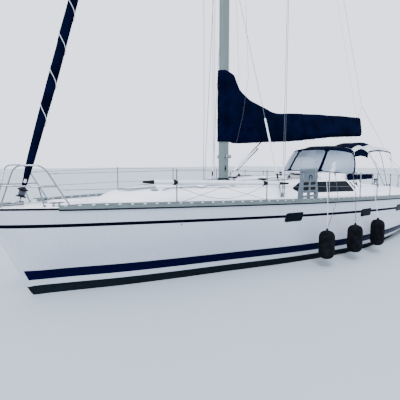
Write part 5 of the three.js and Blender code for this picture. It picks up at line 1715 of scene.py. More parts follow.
def sheet_of(rows, name, thick=0.003, finishes=("canvas",), finish_at=lambda row, column: 0, **declared):
    """A sheet through a grid of points.
    finish_at gives each cell's place in the list of finishes. Its rectangle and how it is held are not used."""
    bm = skin(rows, closed=False)
    where = {}
    for k, row in enumerate(rows):
        for i, p in enumerate(row):
            where[tuple(round(c, 5) for c in p)] = (k, i)
    for face in bm.faces:
        cells = [where[tuple(round(c, 5) for c in v.co)] for v in face.verts]
        face.material_index = finish_at(*[min(numbers) for numbers in zip(*cells)])
    kit = Assembly(*finishes)
    pour(bm, kit.bm)
    made = finished(kit.object(name, 0.9), "SOLIDIFY", thickness=thick, offset=0.0, use_even_offset=False)
    return made


# Plan of the dodger from the centreline out: distance aft, breadth, height
DODGER_BASE = [(7.945, 0, 1.95), (7.97, 0.42, 1.95), (8.1, 0.8, 1.935), (8.38, 1.04, 1.9), (8.76, 1.1, 1.87)]
DODGER_EDGE = [(8.45, 0, 2.6), (8.45, 0.38, 2.592), (8.5, 0.68, 2.57), (8.68, 0.89, 2.53), (8.9, 0.985, 2.47)]
DODGER_REAR = [(9.03, 0, 2.665), (9.03, 0.34, 2.66), (9.015, 0.68, 2.625), (8.985, 0.87, 2.565),
               (8.94, 0.968, 2.49)]
DODGER_COLUMNS, WALL_ROWS, TOP_ROWS = 72, 18, 8


def dodger_line(marks):
    """The line of one edge of the dodger, from the port quarter round the front to starboard."""
    half = curve(marks, DODGER_COLUMNS // 2)
    left = [(p[0], -p[1], p[2]) for p in reversed(half[1:])]
    return [place(*p) for p in left] + [place(*p) for p in half]


def lean(p):
    """The level direction out of the dodger at a point of its wall."""
    return Vector((min(p.x - STEM - 8.6, 0) * 0.6, p.y, 0)).normalized()


def dodger_rows():
    base, edge, rear = dodger_line(DODGER_BASE), dodger_line(DODGER_EDGE), dodger_line(DODGER_REAR)
    rows = []
    for k in range(WALL_ROWS + 1):
        t = k / WALL_ROWS
        belly = math.sin(math.pi * t)
        row = []
        for low, high in zip(base, edge):
            bulge = belly * (0.018 + 0.02 * abs(low.y) ** 3 * (low.x > STEM + 8.3))
            row.append(wrinkled(low.lerp(high, t) + lean(low) * bulge, 0.28, 0.006 * belly))
        rows.append(row)
    for k in range(1, TOP_ROWS + 1):
        t = k / TOP_ROWS
        belly = math.sin(math.pi * t)
        rows.append([wrinkled(low.lerp(high, t) + Vector((0, 0, 0.018 * belly)), 0.3, 0.004 * belly)
                     for low, high in zip(edge, rear)])
    return rows


def dodger_cloth(row, column):
    """0 is navy cloth and 1 the window vinyl: a window in front and one on each side, with sewn corners."""
    rise = min(row - 1, WALL_ROWS - 2 - row)
    out = abs(column + 0.5 - DODGER_COLUMNS // 2)
    for low, high in ((0, 10), (12, 33.5)):
        if low <= out <= high:
            near = min(out - low if low else 99, high - out)
            return 0 if rise < 0 or (near < 1 and rise < 1) else 1
    return 0


def dodger():
    rows = dodger_rows()
    made = sheet_of(rows, "dodger_canvas", finishes=("canvas", "vinyl"), finish_at=dodger_cloth,
                    flat=(3.9, 1.6), held="stretched", rests_on=["dodger_bows", "deck_moulding"])
    aboard(made, "canvas", replaces=["dodger"])
    bows = Assembly()
    for row, shift, knee in ((rows[WALL_ROWS], 0.012, (8.6, 8.68)), (rows[-1], -0.02, (8.64, 8.78))):
        inside = [p + Vector((shift, 0, -0.018)) for p in row]
        low = [place(knee[0], -1.08, 1.8), place(knee[1], -1.0, 2.2)]
        bow = [*low, *inside[2:-2], *mirror_y(reversed(low))]
        bows.put(sweep(curve(bow, 90), 0.0115, 10), "steel")
    for side in (PORT, STARBOARD):
        bows.put(block((8.56, side * 1.08 - 0.02, 1.77), (8.68, side * 1.08 + 0.02, 1.815), 0.005), "black")
    bows.mount("dodger_bows", "stainless")
    half = DODGER_COLUMNS // 2
    seams = [[row[column] for row in rows[:WALL_ROWS + 1]] for column in (half - 11, half + 11)]
    ends = [[row[side] for row in rows] for side in (0, -1)]
    trim = Assembly()
    for line, radius in ((rows[0], 0.007), (rows[-1], 0.008), (ends[0], 0.008), (ends[1], 0.008),
                         (seams[0], 0.009), (seams[1], 0.009)):
        trim.put(sweep(line, radius, 8), "canvas")
    trim.mount("dodger_piping", "canvas")
    breakwater(rows[0])


def breakwater(base):
    """The moulded upstand from the deck to the dodger's foot, lifted over the sliding hatch."""
    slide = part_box("companionway_hatch")
    rings = []
    for p in base:
        out = lean(p)
        floor = on_deck(p.x - STEM, p.y, -0.004, 1.93)
        if abs(p.y) < slide[1].y + 0.12:
            floor.z = max(floor.z, slide[1].z + 0.012)
        above, below = Vector((0, 0, 0.012)), Vector((0, 0, -0.01))
        rings.append([p + out * 0.006 + above, p + out * 0.012 + below, floor + out * 0.02,
                      floor - out * 0.02, p - out * 0.014 + below, p - out * 0.01 + above])
    one("dodger_breakwater", skin(rings), "deck", "gelcoat")


def weather_cloths():
    for name, side in SIDES.items():
        rows = []
        for k in range(9):
            row = []
            for t in [i / 40 for i in range(41)]:
                aft = 8.3 + 1.46 * t + 0.1 * (k / 8) * (1 - t)
                top, low = 1.895 - 0.012 * t, 1.745
                z = top + (low - top) * k / 8 - 0.008 * math.sin(math.pi * t)
                y = side * (1.135 + 0.012 * math.sin(9 * math.pi * t + k) * (k / 8))
                row.append(wrinkled(place(aft, y, z), 0.2, 0.006))
            rows.append(row)
        aboard(sheet_of(rows, f"weather_cloth_{name}", flat=(1.45, 0.18), held="stretched"), "canvas")
        kit = Assembly()
        kit.put(sweep(rows[0], 0.008, 10), "canvas")
        for aft in (8.86, 9.7):
            post = place(aft, side * 1.135, 1.9)
            kit.put(bar(on_deck(aft, side * 1.128, -0.004, 1.74), post, 0.008, 10), "steel")
        kit.mount(f"weather_cloth_rail_{name}", "stainless")


# Each bimini bow: distance aft of its foot and of its top, heights at the side and at the crown
BIMINI_BOWS = [(10.4, 9.85, 2.57, 2.7), (10.56, 10.48, 2.63, 2.83), (10.72, 11.2, 2.58, 2.705)]
BIMINI_HALF, BIMINI_COLUMNS = 0.9, 48


def bimini_arch(side, crown, steps):
    """Breadth and height along a bow's cloth, from port to starboard."""
    half = curve([(BIMINI_HALF + 0.016, side - 0.09), (0.86, side + 0.005), (0.75, side + 0.07),
                  (0.38, crown - 0.002), (0, crown + 0.003)], steps)
    return [(-y, z) for y, z in half[:-1]] + [(y, z) for y, z in reversed(half)]


BRIDGE_ROWS = 12


def bimini_bridge(front):
    """The cloth that joins the dodger to the bimini, with a valance along each of its sides."""
    back = [Vector(p) for p in curve(dodger_rows()[-1], BIMINI_COLUMNS)]
    rows = []
    for k in range(BRIDGE_ROWS + 1):
        t = k / BRIDGE_ROWS
        belly = math.sin(math.pi * t)
        row = []
        for near, far in zip(back, front):
            at = (near + Vector((0.02, 0, 0.012))).lerp(far - Vector((0.012, 0, -0.004)), t)
            at.z += belly * (0.02 + 0.08 * min(1.0, abs(near.y) / 0.8) ** 2)
            row.append(wrinkled(at, 0.25, 0.006 * belly))
        rows.append(row)

    def finish_at(row, column):
        return 0 if abs(column + 0.5 - BIMINI_COLUMNS / 2) < 17 else 1

    made = sheet_of(rows, "bimini_bridge_canvas", finishes=("canvas", "pale_canvas"), finish_at=finish_at,
                    flat=(2.25, 0.85), held="stretched", rests_on=["dodger_bows", "bimini_tubes"])
    aboard(made, "canvas")
    for (name, side), column in zip(SIDES.items(), (0, -1)):
        hang = []
        for k in range(8):
            row = []
            for i in range(BRIDGE_ROWS + 1):
                drop = (0.15 + 0.05 * math.sin(math.pi * i / BRIDGE_ROWS)) * k / 7
                fold = 0.014 * math.sin(5 * math.pi * i / BRIDGE_ROWS + k * 0.4) * k / 7
                row.append(rows[i][column] + Vector((0, side * (0.003 + fold), -0.002 - drop)))
            hang.append(row)
        aboard(sheet_of(hang, f"bimini_valance_{name}", 0.002, flat=(0.95, 0.24), held="hung"), "canvas")


def bimini_tubes():
    kit = Assembly()
    for foot_aft, aft, side, crown in BIMINI_BOWS:
        path = [place(foot_aft, -1.15, 1.5),
                place(foot_aft + (aft - foot_aft) * 0.6, -1.03, 1.5 + (side - 1.56) * 0.6),
                place(aft, -BIMINI_HALF, side - 0.075), place(aft, -0.74, side + 0.025),
                place(aft, -0.38, crown - 0.03), place(aft, 0, crown - 0.018)]
        kit.put(sweep(curve([*path, *reversed(mirror_y(path[:-1]))], 120), 0.011, 12), "steel")
    for side in (PORT, STARBOARD):
        y = side * 1.15
        kit.put(block((10.35, y - 0.02, 1.47), (10.78, y + 0.02, 1.505), 0.004), "alloy")
        for foot_aft, *_ in BIMINI_BOWS:
            socket = [(0, 0), (0.024, 0), (0.02, 0.03), (0.016, 0.05), (0, 0.05)]
            kit.put(turned(socket, place(foot_aft, y, 1.505), steps=16), "black")
        strut = [place(10.5, side * 1.07, 1.93), place(10.22, side * 1.0, 2.1),
                 place(10.09, side * 0.985, 2.26)]
        kit.put(sweep(strut, 0.008, 8), "steel")
        kit.put(bar(place(11.1, side * 0.935, 2.34), place(11.28, side * 1.2, 2.02), 0.004, 6), "dark_rope")
    kit.mount("bimini_tubes", "stainless", replaces=["bimini_frame"])


def bimini():
    bimini_tubes()
    rows = []
    steps, half = 12, BIMINI_COLUMNS // 2
    for number, (start, end) in enumerate(zip(BIMINI_BOWS, BIMINI_BOWS[1:])):
        low, high = bimini_arch(*start[2:], half), bimini_arch(*end[2:], half)
        for k in range(1 if number else 0, steps + 1):
            t = k / steps
            sag = math.sin(math.pi * t)
            aft = start[1] - 0.018 * (number == 0) + (end[1] - start[1] + 0.018) * t
            row = []
            for (y0, z0), (y1, z1) in zip(low, high):
                y, z = y0 + (y1 - y0) * t, z0 + (z1 - z0) * t
                edge = max(0.0, (abs(y) - 0.75) / 0.17)
                at = place(aft, y * (1 - 0.025 * sag * edge),
                           z - sag * (0.03 - 0.03 * edge) + 0.02 * sag * edge)
                row.append(wrinkled(at, 0.25, 0.006 * sag))
            rows.append(row)

    def finish_at(row, column):
        out = abs(column + 0.5 - half)
        return 0 if out > half - 3 or (row < steps and out < 9) else 1

    top = sheet_of(rows, "bimini_canvas", finishes=("canvas", "pale_canvas"), finish_at=finish_at,
                   flat=(2.1, 1.5), held="stretched", rests_on=["bimini_tubes"])
    aboard(top, "canvas", replaces=["bimini_top"])
    bimini_bridge(rows[0])
    piping = Assembly()
    for row in (rows[0], rows[-1]):
        piping.put(sweep(row, 0.006, 8), "white")
    piping.mount("bimini_piping", "canvas")


dodger()
weather_cloths()
bimini()


# Spars: mast with its spreaders, boom, vang and their cover

MAST_TAPER_START, MAST_TIP_SCALE = 14.5, 0.62
SPREADERS = [(6.9, 5.64, 1.2), (12.0, 5.43, 0.86)]
COVER_LOW, COVER_HIGH = 2.69, 4.28


def mast_scale(z):
    """The size of the mast's section at a height, as a share of its full size."""
    return 1 - (1 - MAST_TIP_SCALE) * max(0.0, (z - MAST_TAPER_START) / (MAST_TOP - MAST_TAPER_START))


def mast_point(x, y, z, grow=0.0):
    """The point of the mast's skin, or of one that lies a little outside it, for a cosine and a sine."""
    scale = mast_scale(z)
    reach = math.copysign(abs(x) ** 0.9, x)
    return place(MAST + (MAST_LENGTH / 2 * scale + grow) * reach, (MAST_WIDTH / 2 * scale + grow) * y, z)


def mast_ring(z, grow=0.0, steps=36):
    return [mast_point(x, y, z, grow) for x, y in circle(steps)]


def boom_at(aft):
    return BOOM_HEIGHT + BOOM_RISE * (aft - GOOSENECK)


def rope_block(kit, at, heading, radius=0.032, thick=0.024):
    """A rope block: two cheeks with a sheave between them."""
    heading = Vector(heading).normalized()
    side = Vector((0, 1, 0)) if abs(heading.y) < 0.8 else Vector((1, 0, 0))
    axle = heading.cross(side).normalized()
    cheek = [(0, 0), (radius, 0), (radius * 0.96, 0.004), (0, 0.006)]
    for shift in (-1, 1):
        kit.put(turned(cheek, at + axle * shift * thick / 2, axle * shift), "black")
    sheave = [(0, -0.42), (0.86, -0.42), (0.7, 0), (0.86, 0.42), (0, 0.42)]
    kit.put(turned([(radius * share, thick * z) for share, z in sheave], at, axle), "white")


def spreader(height, tip, out, side):
    rings = []
    for t in [k / 12 for k in range(13)]:
        chord, thick = 0.15 + (0.07 - 0.15) * t, 0.044 + (0.026 - 0.044) * t
        aft, y = MAST + 0.02 + (tip - MAST - 0.02) * t, side * out * t
        rings.append([place(aft + chord / 2 * u, y, height + thick / 2 * v) for u, v in circle(16)])
    return skin(rings)


def mast_fittings(kit):
    """Masthead sheaves, gooseneck, vang bracket, deck light, winches and cleats."""
    for aft in (MAST - 0.09, 5.25):
        sheave = [(0, -0.027), (0.03, -0.027), (0.03, 0.027), (0, 0.027)]
        kit.put(turned(sheave, place(aft, 0, MAST_TOP - 0.04), (0, 1, 0), 20), "black")
    for z in (BOOM_HEIGHT - 0.062, BOOM_HEIGHT + 0.04):
        kit.put(block((MAST + 0.06, -0.026, z), (GOOSENECK + 0.026, 0.026, z + 0.022), 0.005), "steel")
    low, high = (MAST + 0.118, -0.04, BOOM_HEIGHT - 0.1), (MAST + 0.139, 0.04, BOOM_HEIGHT + 0.1)
    kit.put(block(low, high, 0.006), "steel")
    for z in (1.908, 1.975):
        kit.put(block((MAST + 0.06, -0.02, z), (GOOSENECK + 0.012, 0.02, z + 0.01), 0.003), "steel")
    for low, high, radius, sides in ((BOOM_HEIGHT - 0.075, BOOM_HEIGHT + 0.075, 0.01, 20),
                                     (1.9, 1.995, 0.008, 16)):
        kit.put(bar(place(GOOSENECK, 0, low), place(GOOSENECK, 0, high), radius, sides, 0.001), "steel")
    front, z = MAST - MAST_LENGTH / 2 - 0.012, 7.25
    kit.put(block((front - 0.035, -0.03, z), (front + 0.02, 0.03, z + 0.07), 0.01), "black")
    lens = [(0, 0), (0.026, 0), (0.022, 0.02), (0, 0.026)]
    kit.put(turned(lens, place(front - 0.01, 0, z - 0.002), (0, 0, -1), 18), "glass")
    drum = [(0, 0), (0.05, 0), (0.05, 0.03), (0.034, 0.045), (0.031, 0.095), (0.046, 0.108), (0.044, 0.12),
            (0, 0.124)]
    for side in (PORT, STARBOARD):
        kit.put(turned(drum, place(MAST + 0.02, side * (MAST_WIDTH / 2 - 0.004), 2.35), (0, side, 0), 28),
                "steel")
        cleat = place(MAST - 0.03, side * (MAST_WIDTH / 2 + 0.018), 2.08)
        horn = [cleat + Vector((0, 0, z)) for z in (-0.075, -0.03, 0.03, 0.075)]
        kit.put(sweep(horn, [0.005, 0.009, 0.009, 0.005], 10), "black")
        kit.put(around(cleat, (-0.01, -0.016, -0.02), (0.01, 0.016, 0.02), 0.004), "black")


def mast():
    kit = Assembly()
    heights = [MAST_FOOT, 2.4, 4, 6, 8, 10, 12, MAST_TAPER_START, 15.4, 16.4, MAST_TOP]
    kit.put(skin([mast_ring(z) for z in heights]), "spar")
    track = [(-0.006, -0.014), (0.004, -0.014), (0.004, -0.004), (-0.002, -0.004), (-0.002, 0.004),
             (0.004, 0.004), (0.004, 0.014), (-0.006, 0.014)]
    kit.put(skin([[place(MAST + MAST_LENGTH / 2 * mast_scale(z) + x, y, z) for x, y in track]
                  for z in heights[1:]]), "spar")
    crane = [(MAST - 0.12, MAST_TOP - 0.06), (MAST - 0.12, MAST_TOP), (5.32, MAST_TOP),
             (5.32, MAST_TOP - 0.04), (5.23, MAST_TOP - 0.04), (MAST, MAST_TOP - 0.12)]
    kit.put(side_plate(crane, -0.022, 0.022, 0.004), "spar")
    for height, tip, out in SPREADERS:
        for side in (PORT, STARBOARD):
            kit.put(spreader(height, tip, out, side), "spar")
            root = place(MAST + 0.02, side * 0.075, height)
            kit.put(around(root, (-0.09, -0.015, -0.035), (0.09, 0.015, 0.035), 0.008), "spar")
            kit.put(ball(place(tip, side * out, height), 0.024, 14), "black")
    mast_fittings(kit)
    kit.mount("mast_and_spreaders", "mast_aluminium", replaces=["mast"])
    boot = Assembly()
    collar = [(0, 0.03), (0.012, 0.032), (0.02, 0.018), (0.07, 0.009), (0.085, 0.007), (0.088, 0.001)]
    boot.put(skin([mast_ring(MAST_FOOT + rise, grow, 40) for rise, grow in collar]), "rubber")
    for x, y in circle(8, math.pi / 8):
        bolt = [(0, 0), (0.012, 0), (0.01, 0.012), (0, 0.014)]
        boot.put(turned(bolt, on_deck(MAST + 0.21 * x, 0.165 * y), steps=12), "steel")
    seat = on_deck(MAST, 0.1).z - 0.004
    outline = eased_outline(rectangle(-0.29, -0.24, 0.29, 0.24), 0.12, 5)
    boot.put(plate([place(MAST + x, y, seat) for x, y in outline], 0.014, 0.004), "black")
    for side in (PORT, STARBOARD):
        for shift in (-0.16, 0.02, 0.17):
            rope_block(boot, on_deck(MAST + shift, side * 0.2, 0.04), (0, 0, 1))
    boot.mount("mast_collar", "mast_aluminium")


def boom_fittings():
    kit = Assembly()
    z = boom_at(BOOM_END)
    kit.put(block((BOOM_END - 0.03, -0.064, z - 0.104), (BOOM_END - 0.001, 0.064, z + 0.104), 0.014, 3),
            "black")
    for aft in (8.0, 9.6):
        at = place(aft, 0, boom_at(aft) - 0.112)
        kit.put(around(at, (-0.05, -0.02, -0.006), (0.05, 0.02, 0.014), 0.004), "steel")
    kit.mount("boom_end_fittings", "mast_aluminium", body="boom")
    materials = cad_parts["boom"].data.materials
    materials.clear()
    materials.append(FINISH["spar"])


def vang():
    low, high = place(GOOSENECK, 0, 1.935), place(6.33, 0, boom_at(6.33) - 0.13)
    along = (high - low).normalized()
    length = (high - low).length
    kit = Assembly()
    bush = [(0.0095, -0.015), (0.0185, -0.015), (0.019, 0), (0.0185, 0.03), (0.0095, 0.03), (0.0095, -0.015)]
    kit.put(turned(bush, low), "steel")
    kit.put(bar(low + along * 0.0165, low + along * length * 0.12, 0.0098, 12), "steel")
    outer = [(0, 0.09), (0.02, 0.09), (0.0275, 0.1), (0.028, 0.12), (0.028, 0.55), (0.0265, 0.565),
             (0.019, 0.58), (0, 0.58)]
    inner = [(0, 0.5), (0.0165, 0.5), (0.0165, 0.985), (0, 0.985)]
    for profile, finish, steps in ((outer, "white_spar", 28), (inner, "steel", 20)):
        kit.put(turned([(r, share * length) for r, share in profile], low, along, steps), finish)
    z = boom_at(6.34)
    kit.put(block((6.29, -0.0135, z - 0.15), (6.39, 0.0135, z - 0.1), 0.004), "steel")
    kit.put(bar(place(6.335, -0.024, z - 0.125), place(6.335, 0.024, z - 0.125), 0.007, 12, 0.001), "steel")
    drop = Vector((0.045, 0, -0.052))
    lower, upper = low + along * 0.24 + drop, low + along * (length - 0.34) + drop
    for at in (lower, upper):
        rope_block(kit, at, along, 0.03, 0.022)
        kit.put(bar(at, at - drop * 0.8, 0.005, 8), "steel")
    for k in (-1, 0, 1):
        ends = [lower + Vector((0.012 * k, 0.008 * k, 0)), upper + Vector((0.012 * k, -0.008 * k, 0))]
        kit.put(sweep(ends, 0.0055, 6), "dark_rope")
    kit.mount("vang_and_tackle", "mast_aluminium", body="boom", replaces=["vang"])


# Stations of the stowed sail's cover: distance aft, bottom, top, half-width low down and high up
COVER = [(5.275, 2.68, 4.235, 0.12, 0.055), (5.35, 2.675, 4.09, 0.138, 0.062),
         (5.43, 2.672, 3.945, 0.152, 0.07), (5.56, 2.676, 3.85, 0.165, 0.075),
         (5.82, 2.69, 3.715, 0.185, 0.082), (6.24, 2.722, 3.6, 0.195, 0.088),
         (6.7, 2.745, 3.485, 0.195, 0.085), (7.3, 2.776, 3.515, 0.19, 0.08), (8.2, 2.86, 3.568, 0.178, 0.073),
         (9.21, 2.955, 3.605, 0.166, 0.065), (10.1, 3.01, 3.638, 0.14, 0.058),
         (10.87, 3.05, 3.652, 0.108, 0.048)]
COVER_ROWS = 30


def cover_profile(bottom, top, low, high):
    """Breadth and height of one side of the cover, from the fold under the boom to its ridge."""
    shares = [(0.93 * low, 0.1), (low, 0.24), (0.5 * (low + high), 0.62), (high, 0.9), (0.45 * high, 0.985)]
    marks = [(y, bottom + share * (top - bottom)) for y, share in shares]
    return curve([(0.052, bottom + 0.012), (0.6 * low, bottom + 0.004), *marks, (0.004, top)], COVER_ROWS)


def cover_columns():
    """The cover's columns, from the boom's end on the port side to the mast."""
    heads = np.array([station[0] for station in COVER])
    faired_cover = curve([station[1:] for station in COVER], (len(COVER) - 1) * 24)
    start, end = COVER[-1][0], COVER[0][0]
    half = []
    for k in range(57):
        aft = start + (end - start) * (k / 56) ** 0.85
        i = int(np.clip(np.searchsorted(heads, aft, side="right"), 1, len(heads) - 1))
        t = (aft - heads[i - 1]) / (heads[i] - heads[i - 1])
        values = np.array(faired_cover[int(round((i - 1 + t) * 24))])
        tie = 0.5 - 0.5 * math.cos(2 * math.pi * (aft - 5.3) / 1.12)
        column = []
        for y, z in cover_profile(*values):
            height = (z - values[0]) / (values[1] - values[0])
            sag = 0.012 * tie * math.sin(math.pi * height)
            at = place(aft, -(y + sag if y > 0.02 else y), z - 0.008 * tie * height)
            if y > 0.02:
                at.y += noise.noise_vector(Vector((at.x * 1.6, 3.0, at.z * 4.5))).y * 0.011
            column.append(at)
        half.append(column)
    return half


def cover_wraps(neck):
    """The cover's columns round the front of the mast, from its neck on the port side to the middle."""
    wraps = []
    for k in range(1, 13):
        angle = math.pi * 0.36 + (math.pi - math.pi * 0.36) * k / 12
        share = min(1.0, k / 4)
        column = []
        for i, near in enumerate(neck):
            v = i / COVER_ROWS
            pull = 0.03 + 0.004 * math.sin(7 * math.pi * v + k)
            z = COVER_LOW + (COVER_HIGH - COVER_LOW) * v
            round_mast = mast_point(math.cos(angle), -math.sin(angle), z, pull)
            column.append(near.lerp(round_mast, share) if share < 1 else round_mast)
        wraps.append(column)
    return wraps


def sail_cover():
    half = cover_columns()
    columns = [*half, *cover_wraps(half[-1])]
    columns += [mirror_y(column) for column in reversed(columns[:-1])]
    made = sheet_of(columns, "sail_cover_cloth", flat=(12.4, 1.75), held="draped",
                    rests_on=["boom", "mast_and_spreaders"])
    crossing(made, "canvas", ["sail_cover", "mast_cover"])
    seams = Assembly()
    for column in [half[k] for k in (8, 18, 28, 38, 47)]:
        for side in (PORT, STARBOARD):
            seams.put(sweep([Vector((p.x, (abs(p.y) + 0.003) * side, p.z)) for p in column[3:-1]], 0.0035, 6),
                      "canvas")
    seams.put(sweep([Vector((column[-1].x, 0, column[-1].z + 0.003)) for column in half], 0.008, 8), "canvas")
    eyelet = [(0.006, -0.002), (0.013, -0.002), (0.013, 0.003), (0.006, 0.003), (0.006, -0.002)]
    for p in [half[k][2] for k in range(4, 52, 6)]:
        for side in (PORT, STARBOARD):
            eye = Vector((p.x, abs(p.y) * side, p.z - 0.004))
            seams.put(turned(eyelet, eye, (0, side, -0.4), 14), "steel")
            seams.put(sweep([eye, Vector((eye.x + 0.01, 0.0, eye.z - 0.02))], 0.004, 6), "dark_rope")
    seams.mount("sail_cover_seams", "canvas", body="boom")
    buckles = Assembly()
    front = MAST - MAST_LENGTH / 2 - 0.036
    for z in [2.82 + 0.22 * k for k in range(7)]:
        buckles.put(block((front - 0.004, -0.03, z), (front + 0.006, 0.03, z + 0.03), 0.003), "black")
    buckles.put(bar(place(front, 0, COVER_LOW + 0.02), place(front, 0, COVER_HIGH - 0.02), 0.006, 8),
                "canvas")
    buckles.mount("mast_cover_buckles", "canvas")


mast()
boom_fittings()
vang()
sail_cover()


# Standing rigging: forestay with the furled genoa, shrouds and backstay

STAY_FOOT, STAY_HEAD = place(0.571, 0, 1.604), place(4.855, 0, HOUNDS)
STAY = (STAY_HEAD - STAY_FOOT).normalized()
# The furled sail: distance up the stay and radius
GENOA = [(0.2253, 0.03), (0.27, 0.043), (0.7, 0.064), (1.3, 0.075), (2.2, 0.083), (5.2, 0.083), (9.0, 0.073),
         (12.5, 0.055), (13.9, 0.038), (14.0, 0.02)]


def turnbuckle(kit, low, heading, radius=0.0125):
    """A closed-body rigging screw with its fork and threaded studs."""
    heading = heading.normalized()
    profile = [(0, 0.0), (0.0085, 0.0), (0.0085, 0.03), (0.006, 0.034), (0.006, 0.09), (radius * 0.8, 0.093),
               (radius, 0.1), (radius, 0.25), (radius * 0.8, 0.257), (0.006, 0.26), (0.006, 0.29),
               (0.008, 0.3), (0.0075, 0.33), (0, 0.33)]
    kit.put(turned(profile, low, heading, 16), "steel")
    for side in (PORT, STARBOARD):
        cheek = low + Vector((0, 0.009 * side, 0))
        kit.put(bar(cheek - heading * 0.012, cheek + heading * 0.034, 0.004, 10), "steel")
    kit.put(bar(low - Vector((0, 0.016, 0)), low + Vector((0, 0.016, 0)), 0.0055, 12, 0.0008), "steel")


def forestay():
    sleeve = [(0, 0.0), (0.0135, 0.0), (0.0135, 0.036), (0.0121, 0.04), (0.0121, 0.24), (0, 0.24)]
    terminal = [(0, 0), (0.012, 0), (0.0145, 0.03), (0.0085, 0.05), (0.0055, 0.09), (0, 0.09)]
    kit = Assembly()
    kit.put(bar(STAY_FOOT + STAY * 0.03, STAY_HEAD, 0.005, 10), "wire")
    kit.put(turned(sleeve, STAY_FOOT, STAY, 20), "steel")
    kit.put(turned(terminal, STAY_HEAD, STAY * -1, 16), "steel")
    kit.mount("forestay_wire", "stainless", replaces=["forestay"])


def on_stay(along, x, y):
    """A point beside the forestay, at a distance up it."""
    return STAY_FOOT + STAY.to_track_quat("Z", "Y") @ Vector((x, y, along))


def furler():
    bore = 0.0131
    lower = [(0.08, 0.06), (0.084, 0.063), (0.084, 0.071), (0.08, 0.074), (0.055, 0.09), (0.052, 0.095),
             (bore, 0.095)]
    core = [(0.05, 0.095), (0.05, 0.165), (bore, 0.165)]
    upper = [(0.052, 0.165), (0.08, 0.178), (0.084, 0.181), (0.084, 0.193), (0.08, 0.196), (0.044, 0.214),
             (0.04, 0.2248), (bore, 0.2248)]
    kit = Assembly()
    for profile, steps in ((lower, 40), (core, 32), (upper, 40)):
        inside = (bore, profile[0][1])
        kit.put(turned([inside, *profile, inside], STAY_FOOT, STAY, steps), "black")
    turns, steps = 7, 16
    coil = []
    for k in range(turns * steps + 1):
        angle = 2 * math.pi * k / steps
        coil.append(on_stay(0.1 + 0.06 * k / (turns * steps), 0.0525 * math.cos(angle),
                            0.0525 * math.sin(angle)))
    kit.put(sweep(coil, 0.0045, 6), "dark_rope")
    kit.mount("furler_drum_parts", "grey_plastic", body="furler", replaces=["furler_drum"])


def genoa_radius(along):
    return float(np.interp(along, *zip(*GENOA)))


def genoa():
    rows, sides = 190, 32
    start, end = GENOA[0][0], GENOA[-1][0]
    rings = []
    for k in range(rows + 1):
        along = start + (end - start) * (k / rows) ** 1.12
        ring = []
        for i, (x, y) in enumerate(circle(sides)):
            step = 0.9 + 0.1 * ((i / sides - along / 2.3) % 1.0)
            pucker = 1 + 0.03 * noise.noise(Vector((3 * x, 3 * y, along * 3.2)))
            reach = genoa_radius(along) * step * pucker
            ring.append(on_stay(along, reach * x, reach * y))
        rings.append(ring)
    roll = one("genoa_roll", skin(rings), "canvas", "canvas", body="furler", replaces=["furled_genoa"],
               smooth=1.2)
    kit = Assembly()
    wraps = []
    for k in range(330):
        along = 1.25 + 8.6 * k / 329
        angle = -2 * math.pi * (along - 1.25) / 0.62 - 0.9
        radius = genoa_radius(along) + 0.004
        wraps.append(on_stay(along, radius * math.cos(angle), radius * math.sin(angle)))
    kit.put(sweep(wraps, 0.0055, 6), "white_rope")
    tack = []
    for along in (0.3, 0.32, 0.34, 0.36):
        ring = ring_at(STAY_FOOT + STAY * along, STAY, genoa_radius(along) + 0.004, 48)
        facing = sorted(ring, key=lambda p: (p - EYE).length)[:7]
        row = sorted(facing, key=lambda p: p.x)
        tack.append([*row, *[p.lerp(STAY_FOOT + STAY * 0.33, 0.06) for p in reversed(row)]])
    kit.put(skin(tack), "pale_canvas")
    kit.mount("genoa_lashing_and_tack", "canvas", body="furler")


def shroud_lines(side):
    """The cap shroud over both spreaders, the lower shroud and the one that ends between them."""
    tips = [place(tip, side * (out + 0.02), height) for height, tip, out in SPREADERS]
    height, tip, out = SPREADERS[0]
    cap = [place(5.66, side * 1.2, 1.53), *tips, place(MAST + 0.03, side * 0.092, HOUNDS)]
    lower = [place(5.608, side * 1.2, 1.53), place(MAST + 0.06, side * 0.092, 6.78)]
    middle = [place(5.715, side * 1.2, 1.53), place(tip + 0.06, side * (out + 0.005), height),
              place(MAST + 0.06, side * 0.092, 11.9)]
    return cap, lower, middle


def shrouds():
    chainplate = eased_outline([(5.59, 1.43), (5.72, 1.43), (5.715, 1.51), (5.69, 1.545), (5.61, 1.545),
                                (5.592, 1.5)], 0.015)
    tube_cover = [(0, 0.46), (0.0185, 0.46), (0.019, 0.47), (0.019, 1.69), (0.0185, 1.7), (0, 1.7)]
    boot = [(0, 0.33), (0.012, 0.33), (0.0205, 0.36), (0.021, 0.455), (0.0195, 0.462), (0, 0.462)]
    cap_cover = [(0, 0.33), (0.0105, 0.33), (0.0115, 0.36), (0.0105, 0.62), (0, 0.62)]
    tip_pad = [(0, -0.035), (0.012, -0.035), (0.02, 0), (0.012, 0.035), (0, 0.035)]
    for name, side in SIDES.items():
        cap, lower, middle = shroud_lines(side)
        kit = Assembly()
        kit.put(side_plate(chainplate, side * 1.195, side * 1.205), "steel")
        seat = on_deck(5.655, side * 1.2)
        kit.put(around(seat, (-0.09, -0.035, -0.002), (0.09, 0.035, 0.006), 0.003), "steel")
        for line in (cap, lower, middle):
            kit.put(sweep(line, 0.005, 10), "wire")
            turnbuckle(kit, line[0], line[1] - line[0])
        for line, profile, finish, steps in ((lower, tube_cover, "white", 24), (lower, boot, "black", 24),
                                             (cap, cap_cover, "white", 14)):
            kit.put(turned(profile, line[0], (line[1] - line[0]).normalized(), steps), finish)
        for tip in cap[1:3]:
            kit.put(turned(tip_pad, tip, steps=18), "rubber")
        for top in (cap[-1], lower[-1]):
            kit.put(ball(top, 0.014, 12), "steel")
        kit.mount(f"shroud_wires_{name}", "stainless", replaces=[f"shrouds_{name}"])


